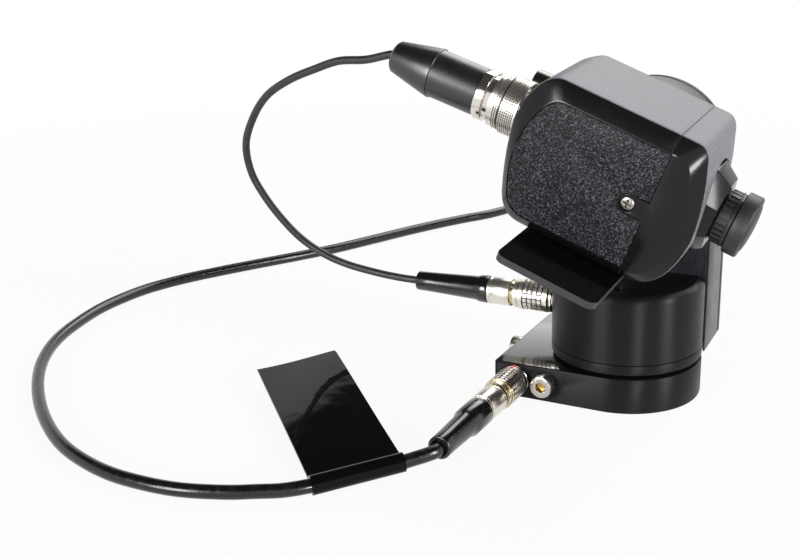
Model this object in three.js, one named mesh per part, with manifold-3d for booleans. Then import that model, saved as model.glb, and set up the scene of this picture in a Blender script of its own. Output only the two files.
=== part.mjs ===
// Remote pan and tilt head that carries a small box camera, with its two cables.
// Millimetres, Z up. The pan axis stands at the origin, on the underside of the base,
// and the base block's front edge runs along X. The head is modelled as photographed:
// turned a little on its base, with the camera's nose down.

import * as THREE from 'three';
import { mergeVertices } from 'three/addons/utils/BufferGeometryUtils.js';
import Module from 'manifold-3d';

const wasm = await Module();
wasm.setup();

// Driving dimensions

const panRest = THREE.MathUtils.degToRad(2.24);
const tiltRest = THREE.MathUtils.degToRad(21.8);
const connectorLean = THREE.MathUtils.degToRad(3);
const shelfSag = { angle: THREE.MathUtils.degToRad(2.2), near: -37, up: 4 };

const fit = { seat: 0.32, overrun: 1, weld: 1e-4 };

const base = {
  radius: 23, thickness: 11, blockReach: 34.4, edgeBreak: 0.5, roof: 3,
  pocketPlay: 1.3, endWall: 4.9, frontWall: 14, backWall: 18.5,
  coverThickness: 2, coverInset: 2.2, coverRight: 16, coverSideWall: 12.5, coverCorner: 4,
  coverScrewInset: 3.2, coverScrewEnd: 3.5, coverScrewSide: 3.3,
  mountHoleRadius: 2.55, mountHoleDepth: 8, mountHoleInset: 25.4, mountHoleSide: 7,
  portInset: 6.9, portZ: 5.8, frontScrewInset: 16.8, screwZ: 6.3, sideScrewY: 1,
};

const spindle = { radius: 4.7, bore: 3.2, flangeRadius: 8.2, flangeThickness: 2, standProud: 10.6 };

const drum = {
  radius: 23, runningGap: 1.15, floorThickness: 3.15, height: 24.3, topFillet: 2.4,
  wall: 2.5, roof: 2.5, bossRadius: 3, bossHeight: 5.4, bossSideInset: 2.8, bossBack: 4,
  bossFrontInset: 2.3, lidScrewX: 1, lidScrewInset: 5.9,
};

const bush = { wall: 2, flangeRadius: 9, flangeThickness: 1 };

const arm = {
  innerFace: 5.8, proud: 3.3, coverThickness: 2.6, axisRise: 57.85, wall: 2.4,
  innerWall: 3, edgeBreak: 0.4, screwInset: 2.4, bossRadius: 2.8, bossLength: 7, throat: 9,
};

const teeth = { module: 0.75, sun: 24, panPinion: 8, tiltWheel: 32, tiltPinion: 8, face: 4, slack: 0.3 };
const toothShares = { tip: 0.12, root: 0.28, addendum: 0.75, dedendum: 1.15 };

const motor = {
  panWallGap: 2.2, panShaft: 1, panBearing: 2, panAngle: THREE.MathUtils.degToRad(-45),
  tiltRadius: 9, tiltShaft: 1, tiltHub: 3,
};

const board = { width: 30, height: 15, thickness: 1.6, chip: 7, chipThickness: 1, foot: 1.5 };

const shaft = { radius: 4, collarRadius: 7.5, endPlay: 1 };
const shaftBush = { wall: 1.9, flangeRadius: 8, flangeThickness: 1.2 };

const capScrew = {
  headRadius: 3.45, headHeight: 3.9, hexRadius: 1.73, hexDepth: 2, shankRadius: 2, shank: 6, rim: 0.4,
};
const flatScrew = {
  headRadius: 2.2, headHeight: 1.3, slotWidth: 0.7, slotDepth: 0.6, shankRadius: 1.2, shank: 5,
};

const port = {
  barrelRadius: 4, barrelLength: 12, flangeRadius: 4.75, flangeThickness: 1.3, bore: 3.1, boreDepth: 8,
  tailRadius: 2.4, tail: 1,
};
const plug = {
  noseRadius: 2.75, noseLength: 6.4, noseBack: 4, sleeveRadius: 4.85, rearRadius: 4.45,
  edge: 0.3, neckRadius: 3.6, latchTravel: 1.1,
  collarRadius: 4.4, bootRadius: 4.4,
};

const linkCable = {
  radius: 1.25, height: 25.7, knurl: 9.9, rearBand: 1.7, collar: 7.5, boot: 25.3, shoulder: 3, waist: 3.9,
  bootEnd: 3.1, steps: 30, swingGap: 1.1,
};
const dataCable = {
  radius: 2, knurl: 11, rearBand: 2, collar: 9.8, boot: 26.2, shoulder: 8.5, waist: 3.8, bootEnd: 3.4,
  step: 9.5,
};

const body = {
  rear: -28.9, front: 28.8, bottom: -17.5, top: 26, near: -39, far: 1, bevel: 2.6,
  farRound: 9, farTaperShare: 0.045,
  seam: 15, tabHalf: 2.7, tabDepth: 2.2, panelSink: 0.25,
  panelThickness: 1.2, lensPocket: 15.2, lensPocketFloor: 24.6,
};

const sideScrew = {
  radius: 2.05, height: 1.1, shankRadius: 1, shank: 4, slotWidth: 0.5, slotDepth: 0.5, slotReach: 1.25,
  along: 9.4, up: 3.1,
};

const lens = {
  along: -19, up: 4.5, neckRadius: 12.9, neckRim: 0.9, neckTip: 9.9, neckLength: 5.8, neckSides: 8,
  barrelRadius: 7, barrelLength: 14.7, barrelSunk: 2, mouthRadius: 5.4, mouthDepth: 1.8,
  ringStart: 6.2, ringRadius: 7.9, ringLength: 4.1, ringRibs: 28, ribDepth: 0.45,
  capGap: 0.32, capRadius: 9, capWall: 1.4, capLength: 4.2, domeRise: 1, domeRadius: 7.2, glassRise: 0.8,
};

const power = {
  along: -21, up: 7.4, barrelRadius: 6.4, wall: 1, sunk: 4, flangeRadius: 8.2,
  flangeSunk: 1,
  noseRadius: 5, ringRadius: 8.6, ringWaist: 8.1, ringFront: 1.7, bandFront: 5.4, bandRear: 3.8,
  travel: 1.6, collarRadius: 7.6, collarLength: 2.8, groove: 0.4,
  bootRadius: 7.1, bootFront: 15, bootStep: 0.35, bootRear: 14.2, bootEnd: 4.8, neckRadius: 6.4,
};

const coax = {
  along: -5.1, up: 12, radius: 4.8, length: 7.6, flangeRadius: 6, flangeThickness: 1.4, bore: 3.4,
  boreDepth: 6, sunk: 4, pinRadius: 0.8,
};

const bracket = {
  reach: -59.4, upright: 2.2, thickness: 2.4, shelfThickness: 2, shift: 0.8, half: 15, headRadius: 11,
  corner: 3, armCornerShare: 0.5,
};

const cameraScrew = {
  along: -19, radius: 6, height: 4, shankRadius: 3, shank: 6, slotWidth: 1.6, slotDepth: 1.4, edge: 0.6,
};

const coil = {
  x: -78, y: 205, outer: 28.4, pitch: 4.6, layerRise: 4.5, dip: 1.4, turns: 3, steps: 20, sides: 6,
  straight: 4, tail: 34,
};
const farPlug = { axisHeight: 5 };

const flag = {
  width: 26, length: 77, plyThickness: 0.4, wrapThickness: 0.5, lowerLonger: 2, rise: 1.4, between: [0, 4],
  skewShare: -0.063,
};

// Counts of flat sides on round pieces

const sides = { large: 44, medium: 22, hidden: 16, small: 16, tiny: 8, cord: 8 };

// Levels and places worked out from the driving dimensions

const drumBottom = base.thickness + drum.runningGap;
const floorTop = drumBottom + drum.floorThickness;
const housingBottom = floorTop + fit.seat;
const drumTop = drumBottom + drum.height;
const axisHeight = drumBottom + arm.axisRise;
const armFace = drum.radius + arm.proud;
const coverFace = armFace - arm.coverThickness;
const armFar = coverFace - fit.seat;
const shelfTop = body.bottom - fit.seat;
const shelfBottom = shelfTop - bracket.shelfThickness;
const uprightFar = bracket.upright + bracket.thickness;
const cavityRadius = drum.radius - drum.wall;
const portX = -base.blockReach + base.portInset;
const frontScrewX = -base.blockReach + base.frontScrewInset;

// Solids: a three.js geometry becomes a solid, solids are cut and joined, and come back

function degenerate(a, b, c) {
  return a === b || b === c || c === a;
}

function signedVolume(position, index) {
  const a = new THREE.Vector3();
  const b = new THREE.Vector3();
  const c = new THREE.Vector3();
  let sum = 0;
  for (let i = 0; i < index.length; i += 3) {
    a.fromArray(position, index[i] * 3);
    b.fromArray(position, index[i + 1] * 3);
    c.fromArray(position, index[i + 2] * 3);
    sum += a.dot(b.cross(c));
  }
  return sum;
}

function solid(geometry) {
  const bare = geometry.clone();
  bare.deleteAttribute('normal');
  bare.deleteAttribute('uv');
  const merged = mergeVertices(bare, fit.weld);
  const position = merged.attributes.position.array;
  const index = [];
  for (let i = 0; i < merged.index.count; i += 3) {
    const [a, b, c] = [0, 1, 2].map((k) => merged.index.getX(i + k));
    if (!degenerate(a, b, c)) index.push(a, b, c);
  }
  if (signedVolume(position, index) < 0) index.reverse();
  const mesh = new wasm.Mesh({
    numProp: 3,
    vertProperties: new Float32Array(position),
    triVerts: new Uint32Array(index),
  });
  mesh.merge();
  return new wasm.Manifold(mesh);
}

function join(first, ...rest) {
  return rest.reduce((sum, piece) => sum.add(piece), first);
}

function cut(first, ...rest) {
  return rest.reduce((sum, piece) => sum.subtract(piece), first);
}

function geometryOf(manifold) {
  const mesh = manifold.getMesh();
  const geometry = new THREE.BufferGeometry();
  geometry.setAttribute('position', new THREE.BufferAttribute(new Float32Array(mesh.vertProperties), 3));
  geometry.setIndex(new THREE.BufferAttribute(new Uint32Array(mesh.triVerts), 1));
  geometry.computeVertexNormals();
  return geometry;
}

// Shapes that several pieces share

function turnTo(geometry, axis) {
  if (axis === 'x') geometry.rotateZ(-Math.PI / 2);
  if (axis === 'z') geometry.rotateX(Math.PI / 2);
  return geometry;
}

// A turned piece: the profile is a list of [along the axis, radius]
function revolve(profile, count, axis, closed = false) {
  const points = profile.map(([along, radius]) => new THREE.Vector2(radius, along));
  if (closed) points.push(points[0].clone());
  return turnTo(new THREE.LatheGeometry(points, count), axis);
}

function rod(from, to, radius, count, axis) {
  return solid(revolve([[from, 0], [from, radius], [to, radius], [to, 0]], count, axis));
}

function moved(manifold, x, y, z) {
  return manifold.translate([x, y, z]);
}

function block(x0, x1, y0, y1, z0, z1) {
  const geometry = new THREE.BoxGeometry(x1 - x0, y1 - y0, z1 - z0);
  geometry.translate((x0 + x1) / 2, (y0 + y1) / 2, (z0 + z1) / 2);
  return solid(geometry);
}

function shapeOf(points) {
  return new THREE.Shape(points.map(([x, y]) => new THREE.Vector2(x, y)));
}

function prism(shape, z0, z1, curveSegments = sides.medium / 2) {
  const geometry = new THREE.ExtrudeGeometry(shape, { depth: z1 - z0, bevelEnabled: false, curveSegments });
  geometry.translate(0, 0, z0);
  return solid(geometry);
}

// A prism whose two end faces have broken edges
function brokenPrism(shape, z0, z1, edge, steps = 1, curveSegments = sides.medium / 2) {
  const geometry = new THREE.ExtrudeGeometry(shape, {
    depth: z1 - z0 - 2 * edge, bevelThickness: edge, bevelSize: edge, bevelOffset: -edge,
    bevelSegments: steps, curveSegments,
  });
  geometry.translate(0, 0, z0 + edge);
  return solid(geometry);
}

// Stands an outline drawn in (x, z) upright, with its depth running along Y
function stood(manifold) {
  return manifold.rotate([90, 0, 0]);
}

function roundedRectangle(x0, x1, y0, y1, radius) {
  const shape = new THREE.Shape();
  shape.moveTo(x0 + radius, y0);
  shape.lineTo(x1 - radius, y0);
  shape.absarc(x1 - radius, y0 + radius, radius, -Math.PI / 2, 0);
  shape.lineTo(x1, y1 - radius);
  shape.absarc(x1 - radius, y1 - radius, radius, 0, Math.PI / 2);
  shape.lineTo(x0 + radius, y1);
  shape.absarc(x0 + radius, y1 - radius, radius, Math.PI / 2, Math.PI);
  shape.lineTo(x0, y0 + radius);
  shape.absarc(x0 + radius, y0 + radius, radius, Math.PI, Math.PI * 1.5);
  return shape;
}

// A skin through equal rings of points, closed by a flat face at each end
function loft(rings) {
  const count = rings[0].length;
  const position = rings.flat().flatMap((p) => [p.x, p.y, p.z]);
  const index = [];
  for (let r = 0; r + 1 < rings.length; r += 1) {
    for (let i = 0; i < count; i += 1) {
      const a = r * count + i;
      const b = r * count + (i + 1) % count;
      index.push(a, b, b + count, a, b + count, a + count);
    }
  }
  return { position, index, count };
}

function closedLoft(rings, flatten) {
  const { position, index, count } = loft(rings);
  const capOf = (ring) => THREE.ShapeUtils.triangulateShape(ring.map(flatten), []);
  const last = (rings.length - 1) * count;
  for (const [a, b, c] of capOf(rings[0])) index.push(a, c, b);
  for (const [a, b, c] of capOf(rings[rings.length - 1])) index.push(last + a, last + b, last + c);
  const geometry = new THREE.BufferGeometry();
  geometry.setAttribute('position', new THREE.Float32BufferAttribute(position, 3));
  geometry.setIndex(index);
  return solid(geometry);
}

// Moves each point of a closed outline inward by one distance
function inset(points, distance) {
  const count = points.length;
  return points.map((point, i) => {
    const before = points[(i + count - 1) % count];
    const after = points[(i + 1) % count];
    const along = after.clone().sub(before).normalize();
    return new THREE.Vector2(point.x - along.y * distance, point.y + along.x * distance);
  });
}

// Materials, as photographed

function finish(color, roughness, metalness) {
  return new THREE.MeshStandardMaterial({ color, roughness, metalness });
}

const blackAnodised = finish(0x1d1d1f, 0.35, 0.6);
const greyGrain = finish(0x55545a, 0.75, 0.2);
const sparkle = finish(0x38373b, 0.85, 0.1);
const nickel = finish(0xc9c8c4, 0.22, 1);
const steel = finish(0xb9b7b2, 0.3, 1);
const darkSteel = finish(0x6d6b69, 0.4, 1);
const brass = finish(0xb59a5b, 0.4, 1);
const rubber = finish(0x18181a, 0.75, 0);
const cableGrey = finish(0x48484c, 0.7, 0);
const cableBlack = finish(0x121214, 0.3, 0);
const tape = finish(0x0e0e10, 0.25, 0);
const glass = finish(0x20262c, 0.05, 0);
const boardGreen = finish(0x1f4a33, 0.6, 0);

const head = new THREE.Group();
const panGroup = new THREE.Group();
const tiltGroup = new THREE.Group();
const cameraGroup = new THREE.Group();
const rearGroup = new THREE.Group();
head.add(panGroup);
panGroup.add(tiltGroup);
tiltGroup.add(cameraGroup);
cameraGroup.add(rearGroup);
panGroup.rotation.z = panRest;
tiltGroup.position.z = axisHeight;
tiltGroup.rotation.y = tiltRest;
cameraGroup.rotation.x = shelfSag.angle;
const sagPivot = new THREE.Vector3(0, shelfSag.near, shelfSag.up);
cameraGroup.position.copy(sagPivot).sub(sagPivot.clone().applyEuler(cameraGroup.rotation));
rearGroup.position.set(body.rear, 0, power.up);
rearGroup.rotation.y = -connectorLean;

function add(group, name, manifold, material) {
  const geometry = manifold instanceof THREE.BufferGeometry ? manifold : geometryOf(manifold);
  const mesh = new THREE.Mesh(geometry, material);
  mesh.name = name;
  group.add(mesh);
  return mesh;
}

// Fasteners, drawn with the head's outer face at zero and the shank along +axis

function capScrewSolid() {
  const { headRadius, headHeight, hexRadius, hexDepth, shankRadius, shank, rim } = capScrew;
  const profile = [[0, 0], [0, headRadius - rim], [rim, headRadius], [headHeight, headRadius],
    [headHeight, shankRadius], [headHeight + shank, shankRadius], [headHeight + shank, 0]];
  const turned = solid(revolve(profile, sides.small, 'z'));
  return cut(turned, rod(-fit.overrun, hexDepth, hexRadius, 6, 'z'));
}

function flatScrewSolid() {
  const { headRadius, headHeight, slotWidth, slotDepth, shankRadius, shank } = flatScrew;
  const profile = [[0, 0], [0, headRadius], [headHeight, shankRadius], [headHeight + shank, shankRadius],
    [headHeight + shank, 0]];
  const turned = solid(revolve(profile, sides.tiny, 'z'));
  const half = slotWidth / 2;
  return cut(turned, block(-headRadius, headRadius, -half, half, -fit.overrun, slotDepth));
}

// The hole that a flat screw sits in, with its clearance
function flatScrewHole(length) {
  const { headRadius, headHeight, shankRadius } = flatScrew;
  const gap = fit.seat;
  const profile = [[-fit.overrun, 0], [-fit.overrun, headRadius + gap], [0, headRadius + gap],
    [headHeight + gap, shankRadius + gap], [length, shankRadius + gap], [length, 0]];
  return solid(revolve(profile, sides.tiny, 'z'));
}

// Base

function baseOutline() {
  const shape = new THREE.Shape();
  shape.moveTo(-base.blockReach, -base.radius);
  shape.lineTo(0, -base.radius);
  shape.absarc(0, 0, base.radius, -Math.PI / 2, Math.PI / 2);
  shape.lineTo(-base.blockReach, base.radius);
  return shape;
}

const pocketRoof = base.thickness - base.roof;
const pocketLeft = -base.blockReach + base.endWall;
const pocketFront = -base.radius + base.frontWall;
const coverRoof = base.coverThickness + fit.seat;
const coverLeft = -base.blockReach + base.coverInset;
const coverHalf = base.radius - base.coverSideWall;
const coverScrewSide = coverHalf - base.coverScrewSide;
const coverScrewPlaces = [
  ['a', coverLeft + base.coverScrewInset, coverScrewSide],
  ['b', base.coverRight - base.coverScrewEnd, -coverScrewSide],
];
const coverOutline = (grow) => roundedRectangle(coverLeft - grow, base.coverRight + grow,
  -coverHalf - grow, coverHalf + grow, base.coverCorner + grow);

function buildBase() {
  const plate = brokenPrism(baseOutline(), 0, base.thickness, base.edgeBreak);
  const pocket = join(
    rod(-fit.overrun, pocketRoof, spindle.flangeRadius + base.pocketPlay, sides.medium, 'z'),
    block(pocketLeft, 0, pocketFront, base.radius - base.backWall, -fit.overrun, pocketRoof),
  );
  const recess = prism(coverOutline(fit.seat), -fit.overrun, coverRoof, 4);
  const spindleHole = rod(0, base.thickness + fit.overrun, spindle.radius + fit.seat, sides.medium, 'z');
  const socketBore = moved(
    rod(-base.radius - fit.overrun, pocketFront, port.barrelRadius + fit.seat, sides.small, 'y'),
    portX, 0, base.portZ,
  );
  const tapped = capScrew.shankRadius + fit.seat;
  const reach = capScrew.shank + fit.overrun;
  const frontBore = moved(
    rod(-base.radius - fit.overrun, -base.radius + reach, tapped, sides.small, 'y'),
    frontScrewX, 0, base.screwZ,
  );
  const sideBore = moved(
    rod(-base.blockReach - fit.overrun, pocketLeft + fit.overrun, tapped, sides.small, 'x'),
    0, base.sideScrewY, base.screwZ,
  );
  const mounts = [-1, 1].map((side) => moved(
    rod(-fit.overrun, base.mountHoleDepth, base.mountHoleRadius, sides.small, 'z'),
    -base.blockReach + base.mountHoleInset, side * (base.radius - base.mountHoleSide), 0,
  ));
  const screwHoles = coverScrewPlaces.map(([, x, y]) => moved(
    rod(0, flatScrew.headHeight + flatScrew.shank + fit.seat, flatScrew.shankRadius + fit.seat,
      sides.tiny, 'z'), x, y, 0,
  ));
  add(head, 'base_plate', cut(plate, pocket, recess, spindleHole, socketBore, frontBore, sideBore,
    ...mounts, ...screwHoles), blackAnodised);

  const cover = prism(coverOutline(0), 0, base.coverThickness, 4);
  const coverHoles = coverScrewPlaces.map(([, x, y]) => moved(
    flatScrewHole(base.coverThickness + fit.overrun), x, y, 0,
  ));
  add(head, 'base_cover', cut(cover, ...coverHoles), blackAnodised);
  for (const [tag, x, y] of coverScrewPlaces) {
    add(head, `base_cover_screw_${tag}`, flatScrewSolid(), steel).position.set(x, y, 0);
  }

  const front = add(head, 'base_front_screw', capScrewSolid(), steel);
  front.rotation.x = -Math.PI / 2;
  front.position.set(frontScrewX, -base.radius - capScrew.headHeight - fit.seat, base.screwZ);
  const { headRadius, headHeight, shank } = capScrew;
  const shortened = cut(capScrewSolid(), block(-headRadius, headRadius, -headRadius, headRadius,
    headHeight + base.endWall - fit.seat, headHeight + shank + fit.overrun));
  const side = add(head, 'base_side_screw', shortened, steel);
  side.rotation.y = Math.PI / 2;
  side.position.set(-base.blockReach - capScrew.headHeight - fit.seat, base.sideScrewY, base.screwZ);
}

// Pan spindle, its gear and the bush that the drum turns on

const flangeTop = pocketRoof - fit.seat;
const bushBore = spindle.radius + fit.seat;
const bushRadius = bushBore + bush.wall;
const bushTop = floorTop + fit.seat + bush.flangeThickness;
const sunBottom = bushTop + fit.seat;
const sunTop = sunBottom + teeth.face;
const spindleTop = base.thickness + spindle.standProud;

function buildSpindle() {
  const flangeBottom = flangeTop - spindle.flangeThickness;
  const profile = [[flangeBottom, spindle.bore], [flangeBottom, spindle.flangeRadius],
    [flangeTop, spindle.flangeRadius], [flangeTop, spindle.radius],
    [spindleTop, spindle.radius], [spindleTop, spindle.bore]];
  add(head, 'pan_spindle', solid(revolve(profile, sides.hidden, 'z', true)), steel);
}

// Gears: each tooth is a trapezium between its root and tip circles

function gearSolid(count, bore, face) {
  const pitch = teeth.module * count / 2;
  const tip = pitch + teeth.module * toothShares.addendum;
  const root = pitch - teeth.module * toothShares.dedendum;
  const step = 2 * Math.PI / count;
  const points = [];
  for (let i = 0; i < count; i += 1) {
    const middle = i * step;
    const corners = [[root, -toothShares.root], [tip, -toothShares.tip],
      [tip, toothShares.tip], [root, toothShares.root]];
    for (const [radius, share] of corners) {
      const angle = middle + share * step;
      points.push([radius * Math.cos(angle), radius * Math.sin(angle)]);
    }
  }
  const wheel = prism(shapeOf(points), 0, face);
  return bore > 0 ? cut(wheel, rod(-fit.overrun, face + fit.overrun, bore, sides.medium, 'z')) : wheel;
}

const meshDistance = (a, b) => teeth.module * (a + b) / 2 + teeth.slack;
const panMesh = meshDistance(teeth.sun, teeth.panPinion);
const tiltMesh = meshDistance(teeth.tiltWheel, teeth.tiltPinion);
const panMotorRadius = cavityRadius - panMesh - motor.panWallGap;

// Turns a pinion so that one of its gaps faces the other gear's tooth
function pinionPhase(count, direction) {
  return direction + Math.PI + Math.PI / count;
}

function buildPanDrive() {
  const sun = add(head, 'pan_sun_gear', gearSolid(teeth.sun, spindle.radius + fit.seat, teeth.face), brass);
  sun.position.z = sunBottom;
  sun.rotation.z = panRest + motor.panAngle;

  const bushProfile = [[drumBottom, bushBore], [drumBottom, bushRadius], [floorTop + fit.seat, bushRadius],
    [floorTop + fit.seat, bush.flangeRadius], [bushTop, bush.flangeRadius], [bushTop, bushBore]];
  add(panGroup, 'pan_bush', solid(revolve(bushProfile, sides.hidden, 'z', true)), brass);

  const x = panMesh * Math.cos(motor.panAngle);
  const y = panMesh * Math.sin(motor.panAngle);
  const motorBottom = sunTop + fit.seat + motor.panBearing;
  const shaftTop = motorBottom + fit.overrun;
  const pinion = join(
    gearSolid(teeth.panPinion, 0, teeth.face),
    rod(teeth.face, shaftTop - sunBottom, motor.panShaft, sides.small, 'z'),
  );
  const mesh = add(panGroup, 'pan_pinion', pinion, steel);
  mesh.position.set(x, y, sunBottom);
  mesh.rotation.z = pinionPhase(teeth.panPinion, motor.panAngle);

  const motorTop = drumTop - drum.roof - fit.seat;
  const profile = [[motorBottom, 0], [motorBottom, panMotorRadius - motor.panBearing],
    [motorBottom + motor.panBearing, panMotorRadius], [motorTop, panMotorRadius], [motorTop, 0]];
  const can = cut(solid(revolve(profile, sides.small, 'z')),
    rod(motorBottom - fit.overrun, shaftTop + fit.seat, motor.panShaft + fit.seat, sides.small, 'z'));
  add(panGroup, 'pan_motor', can, darkSteel).position.set(x, y, 0);
}

// Drum and arm, one machined housing

const floorScrewPlaces = [
  ['a', cavityRadius - drum.bossSideInset, drum.bossBack],
  ['b', -cavityRadius + drum.bossSideInset, drum.bossBack],
  ['c', 0, -cavityRadius + drum.bossFrontInset],
];
const lidScrewY = -cavityRadius + drum.lidScrewInset;

function armOutline(wall, bottom) {
  const half = drum.radius - wall;
  const shape = new THREE.Shape();
  shape.moveTo(-half, bottom);
  shape.lineTo(half, bottom);
  shape.lineTo(half, axisHeight);
  shape.absarc(0, axisHeight, half, 0, Math.PI);
  return shape;
}

// An upright plate with the arm's outline, between two places along Y
function armSlab(wall, bottom, y0, y1, edge = 0) {
  const shape = armOutline(wall, bottom);
  const slab = edge > 0
    ? brokenPrism(shape, -y1, -y0, edge, 1, sides.medium)
    : prism(shape, -y1, -y0, sides.medium);
  return stood(slab);
}

function drumBlock() {
  const shape = new THREE.Shape();
  shape.moveTo(-drum.radius, coverFace);
  shape.lineTo(-drum.radius, 0);
  shape.absarc(0, 0, drum.radius, Math.PI, 2 * Math.PI);
  shape.lineTo(drum.radius, coverFace);
  const low = housingBottom - drum.topFillet;
  const filleted = brokenPrism(shape, low, drumTop, drum.topFillet, 2, sides.medium);
  const wide = drum.radius + fit.overrun;
  return cut(filleted,
    block(-wide, wide, -wide, coverFace + fit.overrun, low - fit.overrun, housingBottom),
    block(-wide, wide, armFar, coverFace + fit.overrun, housingBottom - fit.overrun, drumTop + fit.overrun));
}

const armScrewPlaces = [
  ['a', -(drum.radius - arm.screwInset - arm.wall), drumBottom + arm.screwInset + arm.wall],
  ['b', drum.radius - arm.screwInset - arm.wall, drumBottom + arm.screwInset + arm.wall],
  ['c', 0, axisHeight + drum.radius - arm.screwInset - arm.wall / 2],
];
const armBossReach = arm.screwInset + arm.wall;

function buildHousing() {
  const slab = armSlab(0, drumBottom, arm.innerFace, armFar, arm.edgeBreak);
  const armCavityFloor = drumBottom + arm.wall;
  const armCavity = armSlab(arm.wall, armCavityFloor, arm.innerFace + arm.innerWall, armFar + fit.overrun);
  const drumCavity = rod(drumBottom - fit.overrun, drumTop - drum.roof, cavityRadius, sides.large, 'z');
  const floorSeat = join(
    rod(drumBottom - fit.overrun, housingBottom, drum.radius + fit.seat, sides.large, 'z'),
    block(-arm.throat, arm.throat, 0, armFar + fit.overrun, drumBottom - fit.overrun, housingBottom),
  );
  const hollow = cut(join(slab, drumBlock()), armCavity, drumCavity, floorSeat);
  const floorBosses = floorScrewPlaces.map(([, x, y]) => moved(
    rod(housingBottom, housingBottom + drum.bossHeight, drum.bossRadius, sides.tiny, 'z'), x, y, 0,
  ));
  const armBosses = armScrewPlaces.map(([, x, z]) => moved(
    rod(armFar - arm.bossLength, armFar, arm.bossRadius, sides.tiny, 'y'), x, 0, z,
  ));
  const floorTaps = floorScrewPlaces.map(([, x, y]) => moved(
    rod(drumBottom, drumBottom + flatScrew.headHeight + flatScrew.shank + fit.seat,
      flatScrew.shankRadius + fit.seat, sides.tiny, 'z'), x, y, 0,
  ));
  const armTaps = armScrewPlaces.map(([, x, z]) => moved(
    rod(armFace - flatScrew.headHeight - flatScrew.shank - fit.seat, armFace,
      flatScrew.shankRadius + fit.seat, sides.tiny, 'y'), x, 0, z,
  ));
  const bearingHole = moved(
    rod(arm.innerFace - fit.overrun, arm.innerFace + arm.innerWall + fit.overrun,
      shaft.radius + 2 * fit.seat + shaftBush.wall, sides.medium, 'y'), 0, 0, axisHeight,
  );
  const socketHole = moved(
    rod(-drum.radius - fit.overrun, -cavityRadius + port.barrelLength, port.barrelRadius + fit.seat,
      sides.small, 'x'), 0, 0, linkCable.height,
  );
  const lidHole = moved(
    rod(drumTop - flatScrew.shank / 2 - fit.seat, drumTop + fit.overrun, flatScrew.headRadius + fit.seat,
      sides.small, 'z'), drum.lidScrewX, lidScrewY, 0,
  );
  const whole = cut(join(hollow, ...floorBosses, ...armBosses), floorSeat, ...floorTaps, ...armTaps,
    bearingHole, socketHole, lidHole);
  add(panGroup, 'head_housing', whole, blackAnodised);

  const lid = solid(revolve([[0, 0], [0, flatScrew.headRadius], [flatScrew.headHeight, flatScrew.headRadius],
    [flatScrew.headHeight, 0]], sides.small, 'z'));
  const hex = rod(flatScrew.slotDepth, flatScrew.headHeight + fit.overrun, flatScrew.shankRadius, 6, 'z');
  add(panGroup, 'drum_top_screw', cut(lid, hex), steel)
    .position.set(drum.lidScrewX, lidScrewY, drumTop - flatScrew.shank / 2);
}

function buildDrumFloor() {
  const disc = solid(revolve([[drumBottom, 0], [drumBottom, drum.radius - base.edgeBreak],
    [drumBottom + base.edgeBreak, drum.radius], [floorTop, drum.radius], [floorTop, 0]], sides.large, 'z'));
  const bore = rod(drumBottom - fit.overrun, floorTop + fit.overrun, bushRadius + fit.seat,
    sides.medium, 'z');
  const holes = floorScrewPlaces.map(([, x, y]) => moved(
    flatScrewHole(drum.floorThickness + fit.overrun), x, y, drumBottom,
  ));
  add(panGroup, 'drum_floor', cut(disc, bore, ...holes), blackAnodised);
  for (const [tag, x, y] of floorScrewPlaces) {
    add(panGroup, `drum_floor_screw_${tag}`, flatScrewSolid(), steel).position.set(x, y, drumBottom);
  }
}

// Cover of the arm's far side, its screws and the tilt drive inside

const shaftEnd = armFar - shaft.endPlay;
const wheelFar = shaftEnd - fit.seat;
const wheelNear = wheelFar - teeth.face;
const bushFlangeFar = arm.innerFace + arm.innerWall + fit.seat + shaftBush.flangeThickness;

function buildArmCover() {
  const plate = armSlab(0, drumBottom, coverFace, armFace, arm.edgeBreak);
  const spigot = moved(rod(shaftEnd + fit.seat, coverFace + fit.overrun, shaft.radius, sides.medium, 'y'),
    0, 0, axisHeight);
  const holes = armScrewPlaces.map(([, x, z]) => {
    const hole = flatScrewHole(arm.coverThickness + fit.overrun).rotate([90, 0, 0]);
    return moved(hole, x, armFace, z);
  });
  add(panGroup, 'arm_cover', cut(join(plate, spigot), ...holes), blackAnodised);
  for (const [tag, x, z] of armScrewPlaces) {
    const screw = add(panGroup, `arm_cover_screw_${tag}`, flatScrewSolid(), steel);
    screw.rotation.x = Math.PI / 2;
    screw.position.set(x, armFace, z);
  }
}

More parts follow.
